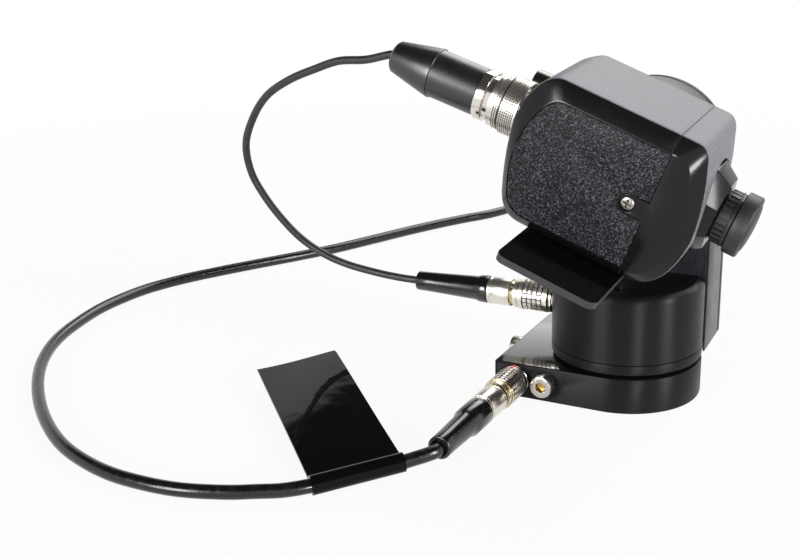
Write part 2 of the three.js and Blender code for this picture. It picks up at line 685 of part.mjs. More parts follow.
function buildTiltDrive() {
  const bushInner = shaft.radius + fit.seat;
  const bushOuter = bushInner + shaftBush.wall;
  const wallFar = arm.innerFace + arm.innerWall + fit.seat;
  const { flangeRadius } = shaftBush;
  const profile = [[arm.innerFace, bushInner], [arm.innerFace, bushOuter], [wallFar, bushOuter],
    [wallFar, flangeRadius], [bushFlangeFar, flangeRadius], [bushFlangeFar, bushInner]];
  add(panGroup, 'tilt_bush', solid(revolve(profile, sides.hidden, 'y', true)), brass)
    .position.z = axisHeight;

  const motorNear = arm.innerFace + arm.innerWall + fit.seat;
  const motorFar = wheelNear - fit.seat - motor.tiltShaft;
  const centre = axisHeight - tiltMesh;
  const shaftNear = motorFar - fit.overrun;
  const can = cut(
    join(rod(motorNear, motorFar - motor.tiltShaft, motor.tiltRadius, sides.medium, 'y'),
      rod(motorNear, motorFar, motor.tiltHub, sides.small, 'y')),
    rod(shaftNear - fit.seat, motorFar + fit.overrun, motor.tiltShaft + fit.seat, sides.small, 'y'),
    moved(rod(arm.innerFace, bushFlangeFar + fit.seat, flangeRadius + fit.seat, sides.medium, 'y'),
      0, 0, tiltMesh),
  );
  add(panGroup, 'tilt_motor', can, darkSteel).position.z = centre;

  const turned = gearSolid(teeth.tiltPinion, 0, teeth.face).rotate([0, 0, 90 + 180 / teeth.tiltPinion]);
  const pinion = join(
    stood(turned).translate([0, wheelFar, 0]),
    rod(shaftNear, wheelNear + fit.overrun, motor.tiltShaft, sides.small, 'y'),
  );
  add(panGroup, 'tilt_pinion', pinion, steel).position.z = centre;

  const boardNear = arm.innerFace + arm.innerWall + fit.seat;
  const boardFace = boardNear + board.foot + board.thickness;
  const half = board.width / 2;
  const foot = board.foot / 2;
  const plate = block(-half, half, boardNear + board.foot, boardFace, 0, board.height);
  const away = foot + fit.overrun;
  const feet = [-1, 1].flatMap((side) => [away, board.height - away].map((z) => moved(
    rod(boardNear, boardFace, foot, sides.tiny, 'y'), side * (half - away), 0, z,
  )));
  const chipLow = (board.height - board.chip) / 2;
  const chip = block(-board.chip / 2, board.chip / 2, boardFace - fit.overrun,
    boardFace + board.chipThickness, chipLow, chipLow + board.chip);
  add(panGroup, 'control_board', join(plate, ...feet, chip), boardGreen)
    .position.z = centre - motor.tiltRadius - fit.overrun - board.height;
}

// Push-pull connectors. Along X, with the socket's mating face at zero and the plug outside it at -X

function portSolid(length) {
  const profile = [[-port.flangeThickness, port.bore], [-port.flangeThickness, port.flangeRadius],
    [-fit.seat, port.flangeRadius], [-fit.seat, port.barrelRadius], [length, port.barrelRadius],
    [length, port.tailRadius], [length + port.tail, port.tailRadius], [length + port.tail, 0],
    [port.boreDepth, 0], [port.boreDepth, port.bore]];
  return solid(revolve(profile, sides.small, 'x', true));
}

const sleeveFront = -port.flangeThickness - fit.seat;

// Places along a plug for one size of cable
function plugPlaces(size) {
  const knurlRear = sleeveFront - size.knurl;
  const sleeveRear = knurlRear - size.rearBand;
  const collarFront = sleeveRear - plug.latchTravel - fit.seat;
  const collarRear = collarFront - size.collar;
  const bootFront = collarRear - fit.seat;
  return { knurlRear, sleeveRear, collarFront, collarRear, bootFront, bootEnd: bootFront - size.boot };
}

function plugBodySolid(size) {
  const { collarFront, collarRear } = plugPlaces(size);
  const shoulder = sleeveFront - plug.noseBack;
  const profile = [[plug.noseLength, 0], [plug.noseLength, plug.noseRadius], [shoulder, plug.noseRadius],
    [shoulder, plug.neckRadius], [collarFront, plug.neckRadius], [collarFront, plug.collarRadius],
    [collarRear, plug.collarRadius], [collarRear, 0]];
  return solid(revolve(profile, sides.small, 'x'));
}

function plugSleeveSolid(size) {
  const { knurlRear, sleeveRear } = plugPlaces(size);
  const bore = plug.neckRadius + fit.seat;
  const profile = [[sleeveFront, bore], [sleeveFront, plug.sleeveRadius - plug.edge],
    [sleeveFront - plug.edge, plug.sleeveRadius], [knurlRear, plug.sleeveRadius],
    [knurlRear, plug.rearRadius], [sleeveRear, plug.rearRadius], [sleeveRear, bore]];
  return solid(revolve(profile, sides.medium, 'x', true));
}

function bootSolid(size) {
  const { bootFront, bootEnd } = plugPlaces(size);
  const shoulder = bootFront - size.shoulder;
  const step = plug.bootRadius - size.waist;
  const crown = bootEnd + (size.bootEnd - size.radius) / 2;
  const profile = [[bootFront, 0], [bootFront, plug.bootRadius], [shoulder, plug.bootRadius],
    [shoulder - step, size.waist], [crown, size.bootEnd], [bootEnd, (size.radius + size.bootEnd) / 2],
    [bootEnd, 0]];
  return solid(revolve(profile, sides.medium, 'x'));
}

// Adds one plug on its own group, whose +X points into the socket
function addPlug(parent, tag, placeGroup, size) {
  const group = new THREE.Group();
  placeGroup(group);
  parent.add(group);
  add(group, `${tag}_plug_body`, plugBodySolid(size), nickel);
  add(group, `${tag}_plug_sleeve`, plugSleeveSolid(size), nickel);
  add(group, `${tag}_plug_boot`, bootSolid(size), rubber);
  return group;
}

function buildPorts() {
  const toFront = (group) => {
    group.rotation.z = Math.PI / 2;
    group.position.set(portX, -base.radius, base.portZ);
  };
  const socketHolder = new THREE.Group();
  toFront(socketHolder);
  head.add(socketHolder);
  add(socketHolder, 'data_socket', portSolid(port.barrelLength), nickel);
  addPlug(head, 'data', toFront, dataCable);

  const toDrum = (group) => {
    group.position.set(-drum.radius, 0, linkCable.height);
  };
  const linkHolder = new THREE.Group();
  toDrum(linkHolder);
  panGroup.add(linkHolder);
  add(linkHolder, 'link_socket', portSolid(port.barrelLength), nickel);
  addPlug(panGroup, 'link', toDrum, linkCable);
}

// Camera body: one outline seen from the side, run across the width, with a bevel at each side

const bodyLength = body.front - body.rear;
const bodyHeight = body.top - body.bottom;

// Each row is an anchor on the outline, or a curve's control and end, as [along, up] shares of the body
const outlineShares = {
  start: [0.205, 0],
  curves: [
    { line: [0.795, 0] },
    { bend: [0.975, 0], to: [1, 0.406] },
    { bend: [0.99, 0.66], to: [0.922, 0.9] },
    { bend: [0.905, 1], to: [0.842, 1] },
    { line: [0.158, 1] },
    { bend: [0.06, 0.985], to: [0.012, 0.762] },
    { bend: [-0.022, 0.55], to: [0.064, 0.17] },
    { bend: [0.1, 0], to: [0.205, 0] },
  ],
};
const panelShares = {
  start: [0.24, 0.068],
  curves: [
    { line: [0.8, 0.068] },
    { bend: [0.9, 0.075], to: [0.922, 0.42] },
    { bend: [0.92, 0.62], to: [0.885, 0.74] },
    { bend: [0.86, 0.875], to: [0.79, 0.878] },
    { line: [0.215, 0.878] },
    { bend: [0.12, 0.87], to: [0.075, 0.62] },
    { bend: [0.04, 0.42], to: [0.105, 0.18] },
    { bend: [0.135, 0.068], to: [0.24, 0.068] },
  ],
};
const outlineSteps = 4;

function sidePoint([along, up]) {
  return new THREE.Vector2(body.rear + along * bodyLength, body.bottom + up * bodyHeight);
}

function sideOutline(shares) {
  const path = new THREE.Path();
  const first = sidePoint(shares.start);
  path.moveTo(first.x, first.y);
  for (const piece of shares.curves) {
    if (piece.line) {
      const end = sidePoint(piece.line);
      path.lineTo(end.x, end.y);
    } else {
      const bend = sidePoint(piece.bend);
      const end = sidePoint(piece.to);
      path.quadraticCurveTo(bend.x, bend.y, end.x, end.y);
    }
  }
  const points = path.getPoints(outlineSteps);
  points.pop();
  return points;
}

const outer = sideOutline(outlineShares);
const inner = sideOutline(panelShares);
const flatSide = (p) => new THREE.Vector2(p.x, p.z);
const ringAt = (points, y) => points.map((p) => new THREE.Vector3(p.x, y, p.y));

function bodySolid() {
  const middle = (body.rear + body.front) / 2;
  const drawnIn = outer.map((p) => new THREE.Vector2(p.x + (middle - p.x) * body.farTaperShare, p.y));
  return closedLoft([
    ringAt(inner, body.near), ringAt(outer, body.near + body.bevel), ringAt(outer, body.far - body.farRound),
    ringAt(drawnIn, body.far - body.bevel), ringAt(inner, body.far),
  ], flatSide);
}

// A side panel's solid: the inner outline behind the seam, less the front shell's tab
function panelSolid(shrink, y0, y1, seam) {
  const shape = new THREE.Shape(inset(inner, shrink));
  const plate = stood(prism(shape, -y1, -y0));
  const ahead = block(seam, body.front + fit.overrun, y0 - fit.overrun, y1 + fit.overrun,
    body.bottom - fit.overrun, body.top + fit.overrun);
  return cut(plate, ahead);
}

// The tab that the front shell sends back round its side screw
function tabSolid(grow, y0, y1) {
  const half = body.tabHalf + grow;
  const shape = new THREE.Shape();
  shape.moveTo(body.seam + fit.overrun, sideScrew.up - half);
  shape.lineTo(body.seam + fit.overrun, sideScrew.up + half);
  shape.lineTo(sideScrew.along, sideScrew.up + half);
  shape.absarc(sideScrew.along, sideScrew.up, half, Math.PI / 2, Math.PI * 1.5);
  return stood(prism(shape, -y1, -y0, sides.tiny));
}

function buildCameraShells() {
  const whole = bodySolid();
  const { near, far } = body;
  const all = (x0, x1) => block(x0, x1, near - fit.overrun, far + fit.overrun,
    body.bottom - fit.overrun, body.top + fit.overrun);
  const ahead = all(body.seam, body.front + fit.overrun);
  const sink = body.panelSink + body.panelThickness;
  const gap = fit.seat;
  const beforeNear = near - fit.overrun;
  const beyondFar = far + fit.overrun;
  const sinks = { near: [beforeNear, near + sink + gap], far: [far - sink - gap, beyondFar] };
  const plates = { near: [near + body.panelSink, near + sink], far: [far - sink, far - body.panelSink] };
  const screwDepth = sideScrew.height + sideScrew.shank + gap;
  const headDepth = sideScrew.height + gap;
  const screwBores = [[sideScrew.shankRadius, screwDepth], [sideScrew.radius, headDepth]].flatMap(
    ([radius, depth]) => [[beforeNear, near + depth], [far - depth, beyondFar]].map(([y0, y1]) => moved(
      rod(y0, y1, radius + gap, sides.small, 'y'), sideScrew.along, 0, sideScrew.up,
    )),
  );
  const lensPocket = moved(
    rod(body.lensPocketFloor, body.front + fit.overrun, body.lensPocket, sides.medium, 'x'),
    0, lens.along, lens.up,
  );
  const barrelBore = moved(
    rod(body.seam - fit.overrun, body.front, lens.barrelRadius + gap, sides.medium, 'x'),
    0, lens.along, lens.up,
  );
  const mountBore = moved(
    rod(body.bottom - fit.overrun, body.bottom + cameraScrew.shank, cameraScrew.shankRadius + gap,
      sides.small, 'z'), bracket.shift, cameraScrew.along, 0,
  );

  const tabs = [tabSolid(0, near, near + body.tabDepth), tabSolid(0, far - body.tabDepth, far)];
  const front = cut(join(whole.intersect(ahead), ...tabs), lensPocket, barrelBore, ...screwBores);
  add(cameraGroup, 'camera_front_shell', front, greyGrain);

  const behind = whole.intersect(all(body.rear - fit.overrun, body.seam - gap));
  const rear = cut(
    behind,
    panelSolid(0, ...sinks.near, body.seam + fit.overrun),
    panelSolid(0, ...sinks.far, body.seam + fit.overrun),
    tabSolid(gap, beforeNear, near + body.tabDepth + gap),
    tabSolid(gap, far - body.tabDepth - gap, beyondFar),
    mountBore, ...screwBores, ...rearCuts(),
  );
  add(cameraGroup, 'camera_rear_shell', rear, greyGrain);

  for (const side of ['near', 'far']) {
    const plate = panelSolid(gap, ...plates[side], body.seam - gap);
    add(cameraGroup, `camera_panel_${side}`, cut(plate, tabSolid(gap, beforeNear, beyondFar)), sparkle);
  }
}

// The sockets' seats are cut square to the leaning rear axis
function rearCuts() {
  const turn = new THREE.Matrix4().makeRotationY(-connectorLean);
  turn.setPosition(body.rear, 0, power.up);
  const seatOf = (along, up, radius, barrel) => join(
    moved(rod(-power.sunk, power.flangeSunk, radius + fit.seat, sides.medium, 'x'), 0, along, up),
    moved(rod(0, 2 * power.sunk, barrel + fit.seat, sides.medium, 'x'), 0, along, up),
  ).transform(turn.elements);
  return [
    seatOf(power.along, 0, power.flangeRadius, power.barrelRadius),
    seatOf(coax.along, coax.up - power.up, coax.flangeRadius, coax.radius),
  ];
}

function buildSideScrews() {
  const { radius, height, shankRadius, shank, slotWidth, slotDepth, slotReach } = sideScrew;
  const profile = [[0, 0], [0, radius], [height, radius], [height, shankRadius],
    [height + shank, shankRadius], [height + shank, 0]];
  const half = slotWidth / 2;
  const turned = solid(revolve(profile, sides.small, 'y'));
  const cross = join(
    block(-slotReach, slotReach, -fit.overrun, slotDepth, -half, half),
    block(-half, half, -fit.overrun, slotDepth, -slotReach, slotReach),
  );
  const screw = cut(turned, cross);
  add(cameraGroup, 'camera_screw_near', screw, darkSteel)
    .position.set(sideScrew.along, body.near, sideScrew.up);
  const other = add(cameraGroup, 'camera_screw_far', screw, darkSteel);
  other.rotation.z = Math.PI;
  other.position.set(sideScrew.along, body.far, sideScrew.up);
}

// Lens: faceted neck, barrel, glass, ribbed focus ring and slip-on cap, along X

const lensSeat = body.lensPocketFloor + fit.seat;
const ringBack = lensSeat + lens.ringStart;
const ringFace = ringBack + lens.ringLength;
const capBack = ringFace + lens.capGap;
const capFace = capBack + lens.capLength;
const barrelFace = lensSeat - lens.barrelSunk + lens.barrelLength;

function octagonRing(x, apothem) {
  const radius = apothem / Math.cos(Math.PI / lens.neckSides);
  const points = [];
  for (let i = 0; i < lens.neckSides; i += 1) {
    const angle = 2 * Math.PI * (i + 1 / 2) / lens.neckSides;
    points.push(new THREE.Vector3(x, radius * Math.cos(angle), radius * Math.sin(angle)));
  }
  return points;
}

function buildLens() {
  const holder = new THREE.Group();
  holder.position.set(0, lens.along, lens.up);
  cameraGroup.add(holder);
  const neck = closedLoft([
    octagonRing(lensSeat, lens.neckRadius), octagonRing(lensSeat + lens.neckRim, lens.neckRadius),
    octagonRing(lensSeat + lens.neckLength, lens.neckTip),
  ], (p) => new THREE.Vector2(p.y, p.z));
  const bore = rod(lensSeat - fit.overrun, lensSeat + lens.neckLength + fit.overrun,
    lens.barrelRadius + fit.seat, sides.medium, 'x');
  add(holder, 'lens_neck', cut(neck, bore), blackAnodised);

  const mouth = barrelFace - lens.mouthDepth;
  const barrelStart = barrelFace - lens.barrelLength;
  const barrelProfile = [[barrelStart, 0], [barrelStart, lens.barrelRadius], [barrelFace, lens.barrelRadius],
    [barrelFace, lens.mouthRadius + fit.seat], [mouth, lens.mouthRadius + fit.seat], [mouth, 0]];
  add(holder, 'lens_barrel', solid(revolve(barrelProfile, sides.medium, 'x')), blackAnodised);

  const glassBack = mouth + fit.seat * 5 / 4;
  const glassRing = (share) => [glassBack + lens.glassRise * Math.cos(share * Math.PI / 2),
    lens.mouthRadius * Math.sin(share * Math.PI / 2)];
  const glassProfile = [[glassBack - fit.seat / 4, 0], [glassBack - fit.seat / 4, lens.mouthRadius],
    ...[1, 3 / 4, 1 / 2, 1 / 4].map(glassRing), [glassBack + lens.glassRise, 0]];
  add(holder, 'lens_glass', solid(revolve(glassProfile, sides.small, 'x')), glass);

  const ribPoints = [];
  const ribStep = 2 * Math.PI / lens.ringRibs;
  for (let i = 0; i < lens.ringRibs; i += 1) {
    for (const [share, depth] of [[0, 0], [0.5, 0], [0.6, lens.ribDepth], [0.9, lens.ribDepth]]) {
      const angle = (i + share) * ribStep;
      const radius = lens.ringRadius - depth;
      ribPoints.push([radius * Math.cos(angle), radius * Math.sin(angle)]);
    }
  }
  const ring = cut(prism(shapeOf(ribPoints), ringBack, ringFace),
    rod(ringBack - fit.overrun, ringFace + fit.overrun, lens.barrelRadius + fit.seat, sides.medium, 'z'));
  add(holder, 'focus_ring', ring.rotate([0, 90, 0]), blackAnodised);

  const dome = [1, 0.8, 0.6, 0.4, 0.2].map((share) => {
    const angle = share * Math.PI / 2;
    return [capFace + lens.domeRise * Math.cos(angle), lens.domeRadius * Math.sin(angle)];
  });
  const capBore = lens.barrelRadius + fit.seat;
  const capInside = capFace - lens.capWall;
  const capProfile = [[capBack, capBore], [capBack, lens.capRadius], [capFace, lens.capRadius], ...dome,
    [capFace + lens.domeRise, 0], [capInside, 0], [capInside, capBore]];
  add(holder, 'lens_cap', solid(revolve(capProfile, sides.medium, 'x', true)), rubber);
}

// Rear connectors of the camera: round power plug with its sliding ring, and a coax socket

const powerRingFront = -power.ringFront;
const powerRingMiddle = powerRingFront - power.bandFront;
const powerRingRear = powerRingMiddle - power.bandRear;
const powerCollarFront = powerRingRear - power.travel - fit.seat;
const powerCollarRear = powerCollarFront - power.collarLength;
const powerBootFront = powerCollarRear - fit.seat;
const powerBootStep = powerBootFront - power.bootFront;
const powerBootEnd = powerBootStep - power.bootRear;

function buildRearConnectors() {
  const socket = new THREE.Group();
  socket.position.set(0, power.along, 0);
  rearGroup.add(socket);
  const inside = power.barrelRadius - power.wall;
  const mouth = -power.ringFront + 2 * fit.seat;
  const powerFlangeBack = power.flangeSunk - fit.seat;
  const socketProfile = [[mouth, inside], [mouth, power.barrelRadius], [-fit.seat, power.barrelRadius],
    [-fit.seat, power.flangeRadius], [powerFlangeBack, power.flangeRadius],
    [powerFlangeBack, power.barrelRadius],
    [power.sunk, power.barrelRadius], [power.sunk, 0], [power.sunk - power.wall, 0],
    [power.sunk - power.wall, inside]];
  add(socket, 'power_socket', solid(revolve(socketProfile, sides.medium, 'x', true)), nickel);

  const ringBore = power.neckRadius + fit.seat;
  const notch = powerRingMiddle - power.groove;
  const grooveRadius = power.ringWaist - power.groove;
  const ring = [[powerRingFront, ringBore], [powerRingFront, power.ringRadius],
    [powerRingMiddle, power.ringRadius], [powerRingMiddle, grooveRadius], [notch, grooveRadius],
    [notch, power.ringWaist], [powerRingRear, power.ringWaist], [powerRingRear, ringBore]];
  add(socket, 'power_plug_ring', solid(revolve(ring, sides.medium, 'x', true)), nickel);

  const nose = power.sunk - power.wall - fit.seat;
  const plugProfile = [[nose, 0], [nose, power.noseRadius], [powerRingFront, power.noseRadius],
    [powerRingFront, power.neckRadius], [powerCollarFront, power.neckRadius],
    [powerCollarFront, power.collarRadius], [powerCollarRear, power.collarRadius], [powerCollarRear, 0]];
  add(socket, 'power_plug_body', solid(revolve(plugProfile, sides.medium, 'x')), nickel);

  const cordRadius = linkCable.radius;
  const boot = [[powerBootFront, 0], [powerBootFront, power.bootRadius],
    [powerBootStep, power.bootRadius], [powerBootStep, power.bootRadius + power.bootStep],
    [powerBootEnd + cordRadius, power.bootEnd], [powerBootEnd, power.bootEnd - cordRadius / 2],
    [powerBootEnd, 0]];
  add(socket, 'power_plug_boot', solid(revolve(boot, sides.medium, 'x')), rubber);

  const coaxHolder = new THREE.Group();
  coaxHolder.position.set(0, coax.along, coax.up - power.up);
  rearGroup.add(coaxHolder);
  const bores = coax.boreDepth - coax.length;
  const flangeBack = coax.flangeThickness / 2;
  const coaxProfile = [[-coax.length, coax.bore], [-coax.length, coax.radius], [0, coax.radius],
    [0, coax.flangeRadius], [flangeBack, coax.flangeRadius], [flangeBack, coax.radius],
    [coax.sunk, coax.radius], [coax.sunk, 0], [bores, 0], [bores, coax.bore]];
  const shell = solid(revolve(coaxProfile, sides.small, 'x', true));
  const pin = rod(-coax.length + coax.pinRadius, bores + fit.overrun, coax.pinRadius, sides.small / 2, 'x');
  add(coaxHolder, 'coax_socket', join(shell, pin), darkSteel);
}

// Bracket: a shelf under the camera and an upright beside it, on the tilt shaft

function buildBracket() {
  const { reach, half, corner, shift, upright } = bracket;
  cameraGroup.updateMatrix();
  const shelfShape = roundedRectangle(shift - half, shift + half, reach, uprightFar + 2 * corner, corner);
  const mountHole = moved(rod(shelfBottom - fit.overrun, shelfTop + fit.overrun,
    cameraScrew.shankRadius + fit.seat, sides.small, 'z'), shift, cameraScrew.along, 0);
  const shelf = cut(prism(shelfShape, shelfBottom, shelfTop, 6), mountHole)
    .transform(cameraGroup.matrix.elements);
  const beyond = block(shift - half - fit.overrun, shift + half + fit.overrun, uprightFar,
    uprightFar + 3 * corner, shelfBottom - corner, shelfTop + corner);
  const footLow = new THREE.Vector3(0, upright, shelfBottom).applyMatrix4(cameraGroup.matrix).z;
  const flare = footLow + half * bracket.armCornerShare;
  const shape = new THREE.Shape();
  shape.moveTo(shift - half, footLow);
  shape.lineTo(shift + half, footLow);
  shape.lineTo(shift + half, flare);
  shape.lineTo(bracket.headRadius, 0);
  shape.absarc(0, 0, bracket.headRadius, 0, Math.PI);
  shape.lineTo(shift - half, flare);
  const plate = stood(prism(shape, -uprightFar, -upright));
  const shaftHole = rod(upright - fit.overrun, uprightFar + fit.overrun, shaft.radius + fit.seat,
    sides.medium, 'y');
  add(tiltGroup, 'tilt_bracket', cut(join(shelf, plate), beyond, shaftHole), blackAnodised);

  const collarNear = uprightFar + fit.seat;
  const collarFar = arm.innerFace - fit.seat;
  const profile = [[bracket.upright, 0], [bracket.upright, shaft.radius], [collarNear, shaft.radius],
    [collarNear, shaft.collarRadius], [collarFar, shaft.collarRadius], [collarFar, shaft.radius],
    [shaftEnd, shaft.radius], [shaftEnd, 0]];
  add(tiltGroup, 'tilt_shaft', solid(revolve(profile, sides.hidden, 'y')), steel);

  const wheel = stood(gearSolid(teeth.tiltWheel, shaft.radius + fit.seat, teeth.face)
    .rotate([0, 0, 90])).translate([0, wheelFar, 0]).rotate([0, -THREE.MathUtils.radToDeg(tiltRest), 0]);
  add(tiltGroup, 'tilt_wheel', wheel, brass);

  const { radius, height, shankRadius, shank, slotWidth, slotDepth, edge } = cameraScrew;
  const headTop = shelfBottom - fit.seat;
  const headLow = headTop - height;
  const shankTop = shelfTop + shank - fit.seat;
  const knob = solid(revolve([[headLow, 0], [headLow, radius - edge], [headLow + edge, radius],
    [headTop, radius], [headTop, shankRadius], [shankTop, shankRadius], [shankTop, 0]], sides.medium, 'z'));
  const halfSlot = slotWidth / 2;
  const slot = block(-radius, radius, -halfSlot, halfSlot, headLow - fit.overrun, headLow + slotDepth);
  const screw = add(cameraGroup, 'camera_mount_screw', cut(knob, slot), steel);
  screw.position.set(shift, cameraScrew.along, 0);
}

// Cords

function cordSection(radius, count) {
  const points = [];
  for (let i = 0; i < count; i += 1) {
    const angle = 2 * Math.PI * (i + 1 / 2) / count;
    points.push([radius * Math.cos(angle), radius * Math.sin(angle)]);
  }
  return shapeOf(points);
}

function cordTube(curve, radius, count, steps) {
  return solid(new THREE.ExtrudeGeometry(cordSection(radius, count), {
    extrudePath: curve, steps, bevelEnabled: false, curveSegments: 1,
  }));
}

// Where the cable starts behind the power plug's boot, in the pan group's frame, and which way it
// points. The boot's end swings past it as the camera tilts, so it stands a little further off.
function powerBootExit() {
  head.updateMatrixWorld(true);
  const end = new THREE.Vector3(powerBootEnd - linkCable.swingGap, power.along, 0);
  const back = new THREE.Vector3(-1, 0, 0).transformDirection(rearGroup.matrixWorld);
  rearGroup.localToWorld(end);
  panGroup.worldToLocal(end);
  const inverse = panGroup.matrixWorld.clone().invert();
  return { end, back: back.transformDirection(inverse) };
}

// The free loop between the two plugs, chosen by hand, in the pan group's frame
const linkRoute = [
  [-77, -20, 101], [-87, -19, 100], [-96, -18, 97], [-106, -17, 93], [-116, -15, 87], [-123, -13, 79],
  [-127, -12, 70], [-127, -10, 60], [-124, -8, 52], [-119, -6, 44], [-113, -4, 37], [-105, -3, 32],
  [-97, -2, 29], [-87, -1, 27], [-79, -0.3, 26],
];

function buildLinkCable() {
  const { end, back } = powerBootExit();
  const lead = 2 * linkCable.radius;
  const plugEnd = new THREE.Vector3(
    -drum.radius + plugPlaces(linkCable).bootEnd - fit.seat, 0, linkCable.height);
  const points = [
    end, end.clone().addScaledVector(back, lead),
    ...linkRoute.map((p) => new THREE.Vector3(...p)),
    plugEnd.clone().add(new THREE.Vector3(-lead, 0, 0)), plugEnd,
  ];
  const curve = new THREE.CatmullRomCurve3(points, false, 'centripetal');
  add(panGroup, 'link_cable', cordTube(curve, linkCable.radius, sides.cord, linkCable.steps), cableGrey);
}

// The data cable comes down to the table and lies there round a wide loop, to the coil behind the head
const dataRoute = [
  [-32.8, -84.8, 3], [-36.1, -88.9, 2.5], [-41.2, -94.2, 1.9], [-46, -99.4, 1.5], [-50.8, -104.8, 1.2],
  [-56.5, -108.8, 0.6], [-63, -111.8, 0.25], [-69.5, -114.9, 0.05], [-83.6, -119.4, 0],
  [-100.7, -120.2, 0], [-111.2, -118.5, 0], [-123.3, -114.5, 0], [-132.1, -110.2, 0], [-141.4, -104.2, 0],
  [-152.4, -95.7, 0], [-163.1, -85.9, 0], [-171.1, -77.4, 0], [-179.8, -66.4, 0], [-187, -54.5, 0],
  [-191.7, -43.5, 0], [-194.6, -33.2, 0], [-197.4, -17.8, 0], [-197.4, -3.9, 0], [-195.5, 8.9, 0],
  [-190, 23.7, 0], [-182.7, 37.3, 0], [-174.6, 50.8, 0], [-164, 67.8, 0], [-155.6, 82.4, 0],
  [-147.6, 99.8, 0], [-139.4, 118.2, 0], [-132.6, 131.9, 0], [-125.2, 145.1, 0], [-117.5, 157.4, 0],
];

const coilStart = new THREE.Vector3(coil.x - coil.outer, coil.y - 2 * coil.straight, dataCable.radius);

function buildDataCable() {
  const { radius } = dataCable;
  const exit = new THREE.Vector3(
    portX, -base.radius + plugPlaces(dataCable).bootEnd - fit.seat, base.portZ);
  const points = [
    exit, exit.clone().add(new THREE.Vector3(0, -radius, 0)),
    ...dataRoute.map(([x, y, lift]) => new THREE.Vector3(x, y, radius + lift)),
    coilStart.clone().add(new THREE.Vector3(0, -2 * coil.straight, 0)),
    coilStart.clone().add(new THREE.Vector3(0, -fit.seat, 0)),
  ];
  const curve = new THREE.CatmullRomCurve3(points, false, 'centripetal');
  const steps = Math.round(curve.getLength() / dataCable.step);
  add(head, 'data_cable', cordTube(curve, radius, sides.cord, steps), cableBlack);
}

// The unseen length: a two-layer coil, in along the first layer and out along the second
function coilPoints() {
  const { outer: rOut, pitch, turns, steps, layerRise, dip, straight, tail } = coil;
  const low = dataCable.radius;
  const points = [];
  const at = (angle, radius, z) => new THREE.Vector3(
    coil.x + radius * Math.cos(angle), coil.y + radius * Math.sin(angle), z);
  points.push(coilStart.clone());
  points.push(coilStart.clone().add(new THREE.Vector3(0, straight, 0)));
  for (let i = 0; i <= turns * steps; i += 1) {
    const turn = i / steps;
    points.push(at(Math.PI - 2 * Math.PI * turn, rOut - pitch * turn, low));
  }
  const rIn = rOut - pitch * turns;
  const inAngle = Math.PI - 2 * Math.PI * turns;
  for (let i = 1; i <= steps / 2; i += 1) {
    const share = i / (steps / 2);
    const radius = rIn - dip * Math.sin(Math.PI * share);
    points.push(at(inAngle - Math.PI * share, radius, low + layerRise * share));
  }
  const outAngle = inAngle - Math.PI;
  for (let i = 1; i <= turns * steps; i += 1) {
    const turn = i / steps;
    points.push(at(outAngle - 2 * Math.PI * turn, rIn + pitch * turn, low + layerRise));
  }
  const last = points[points.length - 1];
  const lastAngle = outAngle - 2 * Math.PI * turns;
  const away = new THREE.Vector3(Math.sin(lastAngle), -Math.cos(lastAngle), 0);
  const drop = farPlug.axisHeight - last.z;
  const settle = tail - 2 * straight;
  const parts = 4;
  for (let i = 1; i <= parts; i += 1) {
    const share = i / parts;
    const eased = share * share * (3 - 2 * share);
    const point = last.clone().addScaledVector(away, straight + settle * share);
    point.z = last.z + drop * eased;
    points.push(point);
  }
  const end = last.clone().addScaledVector(away, tail);
  end.z = farPlug.axisHeight;
  points.push(end);
  return { points, end, away };
}

function sweep(points, radius, count) {
  const rings = points.map((point, i) => {
    const before = points[Math.max(i - 1, 0)];
    const after = points[Math.min(i + 1, points.length - 1)];
    const along = after.clone().sub(before).normalize();
    const aside = new THREE.Vector3().crossVectors(along, new THREE.Vector3(0, 0, 1)).normalize();
    const up = new THREE.Vector3().crossVectors(aside, along);
    const ring = [];
    for (let k = 0; k < count; k += 1) {
      const angle = 2 * Math.PI * k / count;
      ring.push(point.clone().addScaledVector(aside, radius * Math.cos(angle))
        .addScaledVector(up, radius * Math.sin(angle)));
    }
    return ring;
  });
  const { position, index } = loft(rings);
  const last = (rings.length - 1) * count;
  for (let k = 1; k + 1 < count; k += 1) {
    index.push(0, k + 1, k);
    index.push(last, last + k, last + k + 1);
  }
  const geometry = new THREE.BufferGeometry();
  geometry.setAttribute('position', new THREE.Float32BufferAttribute(position, 3));
  geometry.setIndex(index);
  return geometry;
}

// The least gap between turns of the coil, measured between points well apart along it
function leastSelfGap(points, radius) {
  const apart = coil.steps / 2;
  let least = Infinity;
  for (let i = 0; i < points.length; i += 1) {
    for (let j = i + apart; j < points.length - 1; j += 1) {
      const a = points[j];
      const b = points[j + 1];
      const nearest = new THREE.Line3(a, b).closestPointToPoint(points[i], true, new THREE.Vector3());
      least = Math.min(least, nearest.distanceTo(points[i]) - 2 * radius);
    }
  }
  return least;
}

function buildCoil() {
  const { points, end, away } = coilPoints();
  console.log(`least gap of the coil to itself: ${leastSelfGap(points, dataCable.radius).toFixed(3)} mm`);
  add(head, 'data_cable_coil', solid(sweep(points, dataCable.radius, coil.sides)), cableBlack);
  const bootLength = -plugPlaces(dataCable).bootEnd;
  addPlug(head, 'far', (group) => {
    group.rotation.z = Math.atan2(away.y, away.x);
    group.position.copy(end).addScaledVector(away, bootLength + fit.seat);
  }, dataCable);
}

